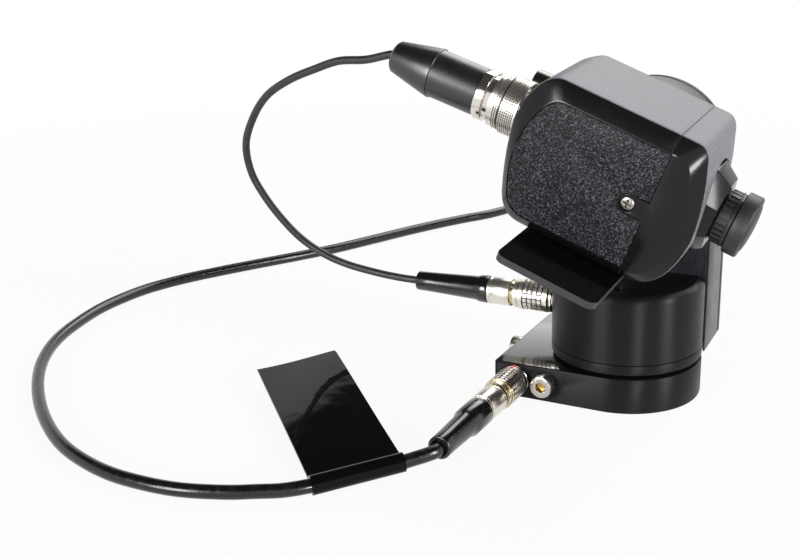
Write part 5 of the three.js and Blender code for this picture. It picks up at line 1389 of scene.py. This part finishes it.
class PANHEAD_OT_head(Operator):
    """Add the drum with its arm, the drum's floor and the arm's cover"""

    bl_idname = "panhead.head"
    bl_label = "Drum and arm"

    def execute(self, context):
        head, place = sizes().head, head_frame()
        self.housing()
        r, low, top = head.drum_radius, head.floor_bottom, head.floor_top
        bore, edge = 0.00734, 0.0005
        profile = [(low, bore), (low, r - edge), (low + edge, r), (top, r), (top, bore)]
        floor = turned("drum_base_ring", profile, 96, closed=True)
        floor.rotation_euler = (0, -math.pi / 2, 0)
        eased(floor, 0.0001)
        settled(floor, place, "pan_head", ["anodised"], ["drum_floor"])
        cover = upright("arm_lid", self.outline(0), head.cover_inner, head.cover_far)
        eased(cover, head.edge, lit=True)
        finishes = ["anodised", "anodised_edge"]
        settled(cover, place, "pan_head", finishes, ["arm_cover"])
        return {"FINISHED"}

    def outline(self, wall):
        """The arm's outline in X and Z: straight sides and a round top."""
        head = sizes().head
        half = head.drum_radius - wall
        low = head.floor_bottom + wall
        return [(-half, low), (half, low)] + arc(0, head.axis_height, half, 0, 180, 64)

    def housing(self):
        """Drum and arm in one, with the seats for the floor, the bearing and the top screw."""
        head = sizes().head
        r, low, top, fillet = head.drum_radius, head.housing_bottom, head.drum_top, head.fillet
        inner, axis, link = head.arm_inner, head.axis_height, head.link_height
        rim = [(z, x) for x, z in arc(r - fillet, top - fillet, fillet, 0, 90, 8)]
        drum = turned("drum", [(low, 0), (low, r), *rim, (top, 0)], 128)
        drum.rotation_euler = (0, -math.pi / 2, 0)
        only(drum)
        bpy.ops.object.transform_apply(rotation=True)
        arm = upright("head_body", self.outline(0), inner, head.arm_far)
        wall, floor = 0.0024, 0.003
        cut(arm, upright("cavity", self.outline(wall), inner + floor, head.arm_far + PAST))
        eased(arm, head.edge, lit=True)
        joined(arm, drum)
        roof, hollow, port, port_end, seat = 0.0025, 0.0205, 0.0041, -0.012, 0.005
        free, joint, lid = 0.0003, 0.00001, head.lid_radius
        cut(
            arm,
            rod((0, 0, head.floor_bottom - PAST), (0, 0, low - joint), r + free, 128),
            rod((0, 0, low - PAST), (0, 0, top - roof), hollow, 96),
            rod((0, inner - PAST, axis), (0, inner + seat, axis), head.bearing, 64),
            rod((-r - PAST, 0, link), (port_end, 0, link), port),
            rod(*[(head.lid_x, head.lid_y, z) for z in (top - head.lid_depth, top + PAST)], lid),
        )
        painted(arm, 2, lambda c, n: abs(c.y - inner) < MARGIN / 2 and n.y < -0.9)
        # The arm's narrow rim is milled, not turned, and shines more than the drum
        for beyond in (lambda c: math.hypot(c.x, c.y) > r * 0.9, lambda c: c.z > top + 0.001):
            painted(arm, 3, lambda c, n: c.y > inner and abs(n.y) < 0.5 and beyond(c))
        finishes = ["anodised", "anodised_edge", "anodised_milled", "anodised_rim"]
        settled(arm, head_frame(), "pan_head", finishes, ["head_housing"])


class PANHEAD_OT_bracket(Operator):
    """Add the tilting bracket under the camera"""

    bl_idname = "panhead.bracket"
    bl_label = "Tilt bracket"

    def execute(self, context):
        b = sizes().bracket
        left, right, inner, far = b.shift - b.half, b.shift + b.half, b.upright, b.upright_far
        overlap, screw_across, screw_hole = 0.006, -0.019, 0.0033
        outline = rounded_rectangle(left, right, b.reach, far + overlap, b.corner)
        shelf = lying("shelf_bracket", outline, b.shelf_low, b.shelf_top)
        lean = tilt_frame().inverted() @ camera_frame()
        shelf.matrix_world = lean
        only(shelf)
        bpy.ops.object.transform_apply(location=True, rotation=True, scale=True)
        cut(shelf, slab((b.shift - 0.02, far, -0.04), (b.shift + 0.02, 0.03, 0)))
        foot = (lean @ Vector((0, inner, b.shelf_low))).z
        side = [(left, foot), (right, foot), (right, foot + b.flare)]
        side += arc(0, 0, b.head, 0, 180, 40) + [(left, foot + b.flare)]
        joined(shelf, upright("upright", side, inner, far))
        screw = [lean @ Vector((b.shift, screw_across, z)) for z in (-0.03, -0.01)]
        shaft = rod((0, inner - PAST, 0), (0, far + PAST, 0), b.shaft)
        cut(shelf, shaft, rod(*screw, screw_hole))
        eased(shelf, b.edge, lit=True)
        # The top is painted darker, a painted shade under the camera; all else is painted paler, a
        # painted sheen
        painted(shelf, 2, lambda c, n: n.z > 0.97)
        painted(shelf, 0, lambda c, n: abs(n.z) < 0.3)
        finishes = ["anodised_side", "anodised_edge", "anodised_smooth"]
        settled(shelf, tilt_frame(), "tilt_head", finishes, ["tilt_bracket"])
        return {"FINISHED"}


# Outlines of the camera's side and of its side panel, as (along, up) shares of the body. Each
# row after the start is a line's end, or a curve's control and end.
SIDE = [
    (0.205, 0), [(0.795, 0)], [(0.975, 0), (1, 0.406)], [(0.99, 0.66), (0.922, 0.9)],
    [(0.905, 1), (0.842, 1)], [(0.158, 1)], [(0.06, 0.985), (0.012, 0.762)],
    [(-0.022, 0.55), (0.064, 0.17)], [(0.1, 0), (0.205, 0)],
]
PANEL = [
    (0.24, 0.068), [(0.8, 0.068)], [(0.9, 0.075), (0.922, 0.42)], [(0.92, 0.62), (0.885, 0.74)],
    [(0.86, 0.875), (0.79, 0.878)], [(0.215, 0.878)], [(0.12, 0.87), (0.075, 0.62)],
    [(0.04, 0.42), (0.105, 0.18)], [(0.135, 0.068), (0.24, 0.068)],
]
# The bevel between the panel's outline and the side's, as (share of the way out, depth in bevels)
NEAR_BEVEL = ((0.1, 0.06), (0.5, 0.45), (0.88, 0.85), (0.96, 0.95), (1.0, 1.12))
FAR_BEVEL = ((0.08, 0.1), (0.5, 0.5), (0.9, 0.9), (0.97, 1.0))


def side_outline(rows, steps=12):
    """An outline of the camera's side as points along and up."""
    camera = sizes().camera
    scale = Vector((camera.front - camera.rear, camera.top - camera.bottom))
    corner = Vector((camera.rear, camera.bottom))

    def at(share):
        return corner + Vector((share[0] * scale.x, share[1] * scale.y))

    here = at(rows[0])
    points = []
    for row in rows[1:]:
        end = at(row[-1])
        bend = at(row[0]) if len(row) == 2 else (here + end) / 2
        for i in range(steps):
            t = i / steps
            points.append(here * (1 - t) ** 2 + bend * 2 * t * (1 - t) + end * t**2)
        here = end
    return points


def shrunk(points, distance):
    """An outline moved inwards by one distance."""
    made = []
    for i, point in enumerate(points):
        along = (points[(i + 1) % len(points)] - points[i - 1]).normalized()
        made.append(Vector((point.x - along.y * distance, point.y + along.x * distance)))
    return made


class PANHEAD_OT_camera_body(Operator):
    """Add the camera's two shells, its side panels and its side screws"""

    bl_idname = "panhead.camera_body"
    bl_label = "Camera body"

    def execute(self, context):
        camera, rear_sizes, seam = sizes().camera, sizes().rear, sizes().camera.seam
        rear = self.whole()
        front_zone = self.zone(seam, 0)
        front = copied(rear, "front_shell")
        combined(front, front_zone, "INTERSECT")
        floor, ahead, behind = [
            Vector((x, camera.lens_along, camera.lens_up))
            for x in (camera.pocket_floor, camera.front + 2 * PAST, seam - PAST)
        ]
        free = 0.0003
        cut(front, rod(floor, ahead, camera.pocket, 96), rod(behind, ahead, camera.barrel + free))
        cut(front, *self.screw_seats())
        eased(front, 0.00022, sharper=45)
        # The shell's edge along the seam is painted paler, a painted highlight
        painted(front, 2, lambda c, n: abs(c.x - seam) < 0.00026 and n.x < -0.3 and n.y < -0.3)
        rear.name = rear.data.name = "rear_shell"
        cut(rear, self.zone(seam - camera.gap, camera.gap))
        outline = side_outline(PANEL)
        near, far, recess = camera.near, camera.far, camera.panel_floor
        cut(
            rear,
            self.plate("near_recess", outline, near - PAST, near + recess),
            self.plate("far_recess", outline, far - recess, far + PAST),
        )
        seat = 0.004
        for along, up, radius in (
            (rear_sizes.power_along, rear_sizes.power_up, 0.00852),
            (rear_sizes.coax_along, rear_sizes.coax_up, 0.00632),
        ):
            local = camera_frame().inverted() @ rear_frame(along, up)
            cut(rear, rod(*[local @ Vector((x, 0, 0)) for x in (-seat, PAST)], radius, 64))
        eased(rear, 0.00018, sharper=45)
        # The shells' coat is painted grey on top and near black on the sides and bevels: painted
        # sheen and painted shade
        finishes = ["shell_coat", "rim_coat", "anodised_edge"]
        for shell, node in ((front, "camera_front_shell"), (rear, "camera_rear_shell")):
            self.paint_side_shade(shell)
            settled(shell, camera_frame(), "tilt_head", finishes, [node], 24)
        self.panels()
        self.side_screws()
        return {"FINISHED"}

    def whole(self):
        """The whole body: the side's outline carried across, bevelled near and drawn in far."""
        camera = sizes().camera
        outer, inner = side_outline(SIDE), side_outline(PANEL)
        middle = (camera.rear + camera.front) / 2
        tapered = [Vector((p.x + (middle - p.x) * camera.far_taper, p.y)) for p in outer]
        steps, draw = 6, 1.6

        def ring(a, b, share, y):
            between = [p + (q - p) * share for p, q in zip(a, b)]
            return [Vector((p.x, y, p.y)) for p in between]

        rings = [ring(inner, outer, 0, camera.near)]
        rings.append(ring(inner, outer, 0.04, camera.near + 0.00002))
        for share, depth in NEAR_BEVEL:
            rings.append(ring(inner, outer, share, camera.near + camera.bevel * depth))
        start, end = camera.far - camera.far_round, camera.far - camera.bevel
        for i in range(steps + 1):
            share = i / steps
            rings.append(ring(outer, tapered, share**draw, start + (end - start) * share))
        for share, depth in FAR_BEVEL:
            rings.append(ring(tapered, inner, share, end + camera.bevel * depth))
        return lofted("camera_whole", rings)

    def zone(self, seam, grow):
        """All that lies ahead of the seam, with the tabs that reach back round the screws."""
        camera = sizes().camera
        room, past, overlap = 0.01, 0.005, 0.002
        low = (seam, camera.near - room, camera.bottom - room)
        block = slab(low, (camera.front + room, camera.far + room, 0.04))
        half, deep = camera.tab_half + grow, camera.tab_depth + grow
        along, up = camera.screw_along, camera.screw_up
        outline = [(seam + overlap, up - half), (seam + overlap, up + half)]
        outline += arc(along, up, half, 90, 270, 24)
        return joined(
            block,
            upright("tab", outline, camera.near - past, camera.near + deep),
            upright("tab", outline, camera.far - deep, camera.far + past),
        )

    def screw_seats(self):
        """Tools that sink both side screws."""
        camera = sizes().camera
        deep, radius = camera.screw_height + 0.0003, camera.screw_radius + 0.00022
        along, up = camera.screw_along, camera.screw_up
        return [
            rod((along, side + out * PAST, up), (along, side - out * deep, up), radius)
            for side, out in ((camera.near, -1), (camera.far, 1))
        ]

    def plate(self, name, outline, near, far):
        """A plate of the panel's outline behind the seam."""
        seam = sizes().camera.seam
        plate = upright(name, [(p.x, p.y) for p in outline], near, far)
        return cut(plate, slab((seam + PAST, near - PAST, -0.05), (0.05, far + PAST, 0.05)))

    def paint_side_shade(self, shell):
        """The bevels and flat faces round both sides take the coat's near-black copy, a painted
        shade.
        """
        camera = sizes().camera
        low, high = camera.near - MARGIN, camera.near + camera.bevel
        far_low, far_high = camera.far - camera.bevel * 0.99, camera.far - 0.00003

        def bevel(c, n):
            beside = low < c.y < high or far_low < c.y < far_high
            return abs(n.y) < 0.96 and beside and abs(n.x) <= 0.999

        painted(shell, 1, bevel)
        painted(shell, 1, lambda c, n: abs(n.y) > 0.96 and (c.y < high or c.y > far_low))

    def panels(self):
        """The two side panels, cut round the front shell's tabs."""
        camera = sizes().camera
        outline = [(p.x, p.y) for p in shrunk(side_outline(PANEL), 0.00016)]
        near, far, sink, back = camera.near, camera.far, camera.panel_sink, camera.panel_back
        finishes = ["panel_coat", "anodised_edge"]
        for name, low, high, node in (
            ("near_panel", near + sink, near + back, "camera_panel_near"),
            ("far_panel", far - back, far - sink, "camera_panel_far"),
        ):
            plate = upright(name, outline, low, high)
            cut(plate, self.zone(camera.seam - camera.gap, camera.gap))
            # The panels' bevelled edges take the paler edge colour, a painted highlight
            eased(plate, 0.00025, sharper=45, lit=True)
            settled(plate, camera_frame(), "tilt_head", finishes, [node], 24)

    def side_screws(self):
        """Two small cross-slotted screws."""
        camera = sizes().camera
        r, height, cross, slot = (
            camera.screw_radius, camera.screw_height, camera.screw_cross, camera.screw_slot,
        )
        shank, end, slot_depth = 0.001, 0.004, 0.0009
        screw = turned(
            "near_screw",
            [
                (0, 0), (0.00005, r * 0.55), (0.00018, r * 0.85), (0.00045, r), (height, r),
                (height, shank), (end, shank), (end, 0),
            ],
            48,
        )
        for y, z in ((cross, slot), (slot, cross)):
            cut(screw, slab((-PAST, -y, -z), (slot_depth, y, z)))
        eased(screw, 0.00006, sharper=45)
        # The cross slot is painted dark, a painted shade in the recess
        painted(screw, 1, lambda c, n: off_axis(c) < cross * 1.02 and c.x > 0.00025)
        finishes = ["screw_steel", "nickel_groove"]
        for piece, side, turn, node in (
            (screw, camera.near, QUARTER_LEFT, "camera_screw_near"),
            (copied(screw, "far_screw"), camera.far, QUARTER_RIGHT, "camera_screw_far"),
        ):
            at = Matrix.Translation((camera.screw_along, side, camera.screw_up))
            place = camera_frame() @ at @ turn
            settled(piece, place, "tilt_head", finishes, [node])


class PANHEAD_OT_lens(Operator):
    """Add the lens's neck, barrel, focus ring and cap"""

    bl_idname = "panhead.lens"
    bl_label = "Lens"

    def execute(self, context):
        camera, place = sizes().camera, lens_frame()
        seat, face, r = camera.pocket_floor + FIT, camera.barrel_face, camera.barrel
        corners = [math.tau * (i + 0.5) / 8 for i in range(8)]
        rings = []
        for x, half in (
            (seat, camera.neck_radius),
            (seat + camera.neck_rim, camera.neck_radius),
            (seat + camera.neck_length, camera.neck_tip),
        ):
            radius = half / math.cos(math.pi / 8)
            ring = [Vector((x, radius * math.cos(a), radius * math.sin(a))) for a in corners]
            rings.append(ring)
        neck = lofted("eight_sided_neck", rings)
        free = 0.0003
        cut(neck, rod((seat - PAST, 0, 0), (seat + 10 * PAST, 0, 0), r + free, 64))
        eased(neck, 0.0003, sharper=20)
        # The neck takes the coat's near-black copy, painted shade
        settled(neck, place, "tilt_head", ["rim_coat"], ["lens_neck"], 20)
        edge, glass, depth = 0.0003, 0.00572, 0.0018
        barrel = turned(
            "barrel",
            [
                (seat - depth, 0), (seat - depth, r), (face - edge, r), (face, r - edge),
                (face, glass), (face - depth, glass), (face - depth, 0),
            ],
        )
        eased(barrel, 0.0001)
        settled(barrel, place, "tilt_head", ["anodised"], ["lens_barrel"])
        self.ring(place)
        self.cap(place)
        return {"FINISHED"}

    def ring(self, place):
        """The focus ring: a plain lip and deep straight ribs."""
        camera = sizes().camera
        start, end, high = camera.ring_back, camera.ring_face, camera.ring_radius
        bore, low = camera.barrel + FIT, high - camera.rib_depth
        rib_start, rib_end = start + 0.0003, end - 0.0009
        profile = [
            (start, bore), (start, low), (rib_start, low), (rib_end, low), (rib_end, high),
            (end, high), (end, bore),
        ]
        sides = 3 * camera.ring_ribs
        ring = turned("ribbed_ring", profile, sides, closed=True)
        knurled(ring, sides, [(rib_start, rib_end)], bore, high / low)
        eased(ring, 0.00008, 1)
        settled(ring, place, "focus", ["cap_plastic"], ["focus_ring"])

    def cap(self, place):
        """The slip-on cap with its low dome."""
        camera = sizes().camera
        back, face, r, rise = camera.cap_back, camera.cap_face, camera.cap_radius, camera.cap_dome
        inside, bore = face - camera.cap_wall, camera.barrel + FIT
        edge, corner, bevel = 0.0002, 0.0005, 0.00015
        dome = [
            (face + rise * math.cos(a), camera.cap_dome_radius * math.sin(a))
            for a in (math.pi / 2 * (1 - i / 10) for i in range(10))
        ]
        profile = [
            (back, bore), (back, r - edge), (back + edge, r), (face - corner, r),
            (face - bevel, r - bevel), (face, r - corner), *dome, (face + rise, 0), (inside, 0),
            (inside, bore),
        ]
        cap = turned("slip_cap", profile, 96, closed=True)
        eased(cap, 0.00015, sharper=25)
        settled(cap, place, "cap", ["cap_plastic"], ["lens_cap"])


class PANHEAD_OT_rear(Operator):
    """Add the camera's power plug and coax socket"""

    bl_idname = "panhead.rear"
    bl_label = "Rear connectors"

    def execute(self, context):
        rear = sizes().rear
        place = rear_frame(rear.power_along, rear.power_up)
        self.ring(place)
        front, back, r = rear.collar_front, rear.collar_rear, rear.collar
        nose, nose_end, edge = 0.005, 0.0026, 0.0002
        plug = turned(
            "power_core",
            [
                (nose_end, 0), (nose_end, nose), (rear.ring_front, nose),
                (rear.ring_front, rear.neck), (front, rear.neck), (front, r - edge),
                (front - edge, r), (back, r), (back, 0),
            ],
        )
        # Two flats on the collar, for a spanner
        flat, wide = r - 0.0005, 0.01
        for low, high in ((flat, wide), (-wide, -flat)):
            cut(plug, slab((back - PAST, -wide, low), (front + MARGIN, wide, high)))
        eased(plug, 0.00015)
        settled(plug, place, "tilt_head", ["nickel_bright"], ["power_plug_body"])
        step, end, tip, cable = rear.boot_step, rear.boot_end, rear.boot_tip, sizes().link.cable
        lip, nib, hollow = 0.0006, 0.0008, 0.002
        boot = turned(
            "power_boot",
            [
                (rear.boot_front, 0), (rear.boot_front, rear.boot), (step, rear.boot),
                (step, rear.boot_lip), (step - lip, rear.boot_lip), (end + nib, tip),
                (end, tip - nib), (end, cable + 0.0003), (end + hollow, cable + 0.0001),
                (end + hollow, 0),
            ],
        )
        eased(boot, 0.0002, 3, 30)
        settled(boot, place, "tilt_head", ["boot_rubber_matt"], ["power_plug_boot"])
        self.coax(rear_frame(rear.coax_along, rear.coax_up))
        return {"FINISHED"}

    def ring(self, place):
        """The sliding ring: two finely knurled bands and a groove between them."""
        rear = sizes().rear
        bore = rear.neck + FIT
        depth, edge, lip, plain, pitch, gap = 0.0002, 0.0003, 0.0008, 0.0012, 0.00062, 0.00022
        high, low = rear.ring_radius - depth, rear.ring_waist - depth
        front, middle, end = rear.ring_front, rear.ring_middle, rear.ring_rear
        groove, behind = rear.ring_waist - rear.groove, middle - rear.groove
        wide = rear.ring_radius
        profile = [(front, bore), (front, wide - edge), (front - edge, wide)]
        profile += [(front - lip, wide), (front - lip, high)]
        teeth = []
        bands = ((front - lip, middle, high, 0), (behind, end, low, plain))
        for start, stop, radius, smooth in bands:
            for row in range(int((start - stop - gap - smooth) / pitch)):
                top = start - gap - row * pitch
                teeth.append((top - pitch + gap, top))
                profile += [(top, radius), (top - pitch + gap, radius)]
            if stop == middle:
                profile += [(middle, high), (middle, groove), (behind, groove), (behind, low)]
        profile += [(end, low), (end, bore)]
        sides = 216
        ring = turned("knurled_ring", profile, sides, closed=True)
        knurled(ring, sides, teeth, bore, rear.ring_radius / high)
        # The floor between the teeth is painted darker, a painted shade
        front_low, rear_low, near = front - lip - MARGIN, end + plain + MARGIN, 0.00003

        def between(c, n):
            floor = (high if c.x > middle else low) + near
            return rear_low < c.x < front_low and bore + MARGIN < off_axis(c) < floor

        painted(ring, 1, between)
        finishes = ["nickel_satin", "nickel_groove"]
        settled(ring, place, "power_plug_collar", finishes, ["power_plug_ring"])

    def coax(self, place):
        """The coax socket: a flanged tube with its middle pin."""
        rear = sizes().rear
        out, bottom = -rear.coax_length, rear.coax_depth - rear.coax_length
        r, edge, flange, root, tip = rear.coax, 0.0002, 0.0007, 0.004, 0.0008
        socket = turned(
            "coax_port",
            [
                (out, rear.coax_bore), (out, r - edge), (out + edge, r), (0, r),
                (0, rear.coax_flange), (flange, rear.coax_flange), (flange, r), (root, r),
                (root, 0), (bottom, 0), (bottom, rear.coax_bore),
            ],
            closed=True,
        )
        joined(socket, rod((out + tip, 0, 0), (bottom + 0.0005, 0, 0), rear.coax_pin, 24))
        eased(socket, 0.00012)
        settled(socket, place, "tilt_head", ["nickel_dark"], ["coax_socket"])


class PANHEAD_OT_inner_parts(Operator):
    """Dress the pieces that need no finer model"""

    bl_idname = "panhead.inner_parts"
    bl_label = "Inner parts"

    dressed = {
        "anodised": ["base_cover"],
        "stainless": [
            "base_cover_screw_a", "base_cover_screw_b", "pan_spindle", "pan_pinion", "tilt_pinion",
            "drum_top_screw", "drum_floor_screw_a", "drum_floor_screw_b", "drum_floor_screw_c",
            "arm_cover_screw_a", "arm_cover_screw_b", "arm_cover_screw_c", "tilt_shaft",
            "camera_mount_screw",
        ],
        "blacked_steel": ["pan_motor", "tilt_motor"],
        "plain_brass": ["pan_sun_gear", "pan_bush", "tilt_bush", "tilt_wheel"],
        "nickel_bright": ["power_socket"],
        "lens_glass": ["lens_glass"],
        "board": ["control_board"],
    }

    def execute(self, context):
        for name, nodes in self.dressed.items():
            for node in nodes:
                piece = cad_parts[node]
                piece.data.materials.clear()
                piece.data.materials.append(finish(name))
        return {"FINISHED"}


# Soft boxes, each with its place, the point that it faces, its width and height, and its watts
LAMPS = {
    # A broad one high behind the head, for the soft top light
    "back_box": ((0.15, 1.0, 0.95), (0, 0, 0.05), (1.3, 0.85), 15),
    # An upright one before the head, for the drum's left streak and the camera's near side
    "left_strip": ((-0.31, -0.9, 0.32), (0, 0, 0.3), (0.38, 0.44), 8.5),
    # A narrow one at the right, for the drum's right streak and the arm's end
    "right_strip": ((0.95, -0.14, 0.34), (0, 0, 0.2), (0.2, 0.66), 9),
    # A small low one, for the glint on the camera's bevelled corner
    "corner_spot": ((0.29, -0.4, 0.04), (0, -0.03, 0.09), (0.08, 0.08), 0.95),
}
FLOOR_SIZE = 14
FLOOR_HEIGHT = -0.0004
WHITE = (1, 1, 1, 1)


class PANHEAD_OT_stage(Operator):
    """Add the pale floor, the studio lamps and the world"""

    bl_idname = "panhead.stage"
    bl_label = "Studio"

    def execute(self, context):
        bpy.ops.object.select_all(action="DESELECT")
        bpy.ops.mesh.primitive_plane_add(size=FLOOR_SIZE, location=(0, 0, FLOOR_HEIGHT))
        floor = just_added("floor")
        only(floor)
        bpy.ops.object.transform_apply(location=True, rotation=True, scale=True)
        floor.data.materials.append(self.paper())
        for name, (place, target, size, power) in LAMPS.items():
            self.lamp(name, place, target, size, power)
        self.world(context)
        context.scene.view_settings.view_transform = "Standard"
        return {"FINISHED"}

    def lamp(self, name, place, target, size, power):
        """One rectangular soft box that faces a point."""
        data = bpy.data.lights.new(name, "AREA")
        data.shape = "RECTANGLE"
        data.size, data.size_y = size
        data.energy = power
        box = bpy.data.objects.new(name, data)
        bpy.context.collection.objects.link(box)
        box.location = place
        box.rotation_euler = (Vector(target) - box.location).to_track_quat("-Z", "Y").to_euler()
        box.visible_camera = False

    def seen(self, tree):
        """One for rays from the eye, and one for rays from a mirror or through glass."""
        rays = add_node(tree, "ShaderNodeLightPath").outputs
        either = (rays["Is Glossy Ray"], rays["Is Transmission Ray"])
        mirrored = add_node(tree, "ShaderNodeMath", either, 0, operation="MAXIMUM")
        return rays["Is Camera Ray"], mirrored

    def shown(self, tree, output, share, soft, white):
        """Show the white shader to the share's rays, and the soft one to all others."""
        mix = add_node(tree, "ShaderNodeMixShader", (share, soft, white), 0)
        add_node(tree, output, {"Surface": mix})

    def paper(self):
        """White paper: white to the eye and to mirrors, and it still takes the head's shadow."""
        material, place = fresh_material("white_paper")
        tree = material.node_tree
        soft = add_node(tree, "ShaderNodeBsdfDiffuse", {"Color": shade("floor")}, 0)
        white = add_node(tree, "ShaderNodeEmission", {"Color": WHITE, "Strength": 1.0}, 0)
        eye, mirrored = self.seen(tree)
        both = add_node(tree, "ShaderNodeMath", (eye, mirrored), 0, operation="MAXIMUM")
        # The shadow fades with the distance, so the far floor is as white as the backdrop
        away = add_node(tree, "ShaderNodeVectorMath", (place,), "Value", operation="LENGTH")
        fade = add_node(tree, "ShaderNodeMapRange", (away, 0.25, 0.6, 0.93, 1.0), "Result")
        share = add_node(tree, "ShaderNodeMath", (both, fade), 0, operation="MULTIPLY")
        self.shown(tree, "ShaderNodeOutputMaterial", share, soft, white)
        return material

    def world(self, context):
        """A white surround for the eye; mirrors see a low white backdrop under a dim room."""
        world = bpy.data.worlds.new("studio")
        context.scene.world = world
        world.use_nodes = True
        tree = world.node_tree
        tree.nodes.clear()
        eye, mirrored = self.seen(tree)
        way = add_node(tree, "ShaderNodeTexCoord", output="Generated")
        height = add_node(tree, "ShaderNodeSeparateXYZ", {"Vector": way}, "Z")
        # The backdrop ends 28 degrees above the floor, and mirrors see no soft light of the room
        drop = add_node(tree, "ShaderNodeMapRange", (height, 0.455, 0.475, 1.0, 0.06), "Result")
        dim = add_node(tree, "ShaderNodeMapRange", (mirrored, 0.0, 1.0, 0.16, 0.0), "Result")
        lit = add_node(tree, "ShaderNodeMath", (mirrored, drop), 0, operation="MULTIPLY")
        share = add_node(tree, "ShaderNodeMath", (eye, lit), 0, operation="MAXIMUM")
        soft, white = [
            add_node(tree, "ShaderNodeBackground", {"Color": WHITE, "Strength": strength}, 0)
            for strength in (dim, 1.0)
        ]
        self.shown(tree, "ShaderNodeOutputWorld", share, soft, white)


class PANHEAD_PT_panel(Panel):
    """Lists the head's pieces"""

    bl_label = "Pan and Tilt Head"
    bl_idname = "PANHEAD_PT_panel"
    bl_space_type = "VIEW_3D"
    bl_region_type = "UI"
    bl_category = "Pan Head"

    def draw(self, context):
        for operator in OPERATORS:
            self.layout.operator(operator.bl_idname)
        for name in context.scene.pan_tilt_head.colours.__annotations__:
            self.layout.prop(context.scene.pan_tilt_head.colours, name)


OPERATORS = (
    PANHEAD_OT_view, PANHEAD_OT_link_cable, PANHEAD_OT_data_cable, PANHEAD_OT_base,
    PANHEAD_OT_ports, PANHEAD_OT_head, PANHEAD_OT_bracket, PANHEAD_OT_camera_body,
    PANHEAD_OT_lens, PANHEAD_OT_rear, PANHEAD_OT_inner_parts, PANHEAD_OT_stage,
)
GROUPS = (
    RestPose, BaseSizes, HeadSizes, BracketSizes, CameraSizes, PlugSizes, LinkPlugSizes,
    DataPlugSizes, RearSizes, CordSizes, FinishColours, HeadProperties,
)


def register():
    """Register all classes and the scene's sizes."""
    for cls in (*GROUPS, *OPERATORS, PANHEAD_PT_panel):
        bpy.utils.register_class(cls)
    bpy.types.Scene.pan_tilt_head = PointerProperty(type=HeadProperties)


def unregister():
    """Take the classes and the sizes away again."""
    del bpy.types.Scene.pan_tilt_head
    for cls in reversed((*GROUPS, *OPERATORS, PANHEAD_PT_panel)):
        bpy.utils.unregister_class(cls)


def main():
    """Build the whole head."""
    register()
    bpy.ops.panhead.view()
    bpy.ops.panhead.link_cable()
    bpy.ops.panhead.data_cable()
    bpy.ops.panhead.base()
    bpy.ops.panhead.ports()
    bpy.ops.panhead.head()
    bpy.ops.panhead.bracket()
    bpy.ops.panhead.camera_body()
    bpy.ops.panhead.lens()
    bpy.ops.panhead.rear()
    bpy.ops.panhead.inner_parts()
    bpy.ops.panhead.stage()
    bpy.context.view_layer.update()


if __name__ == "__main__":
    main()
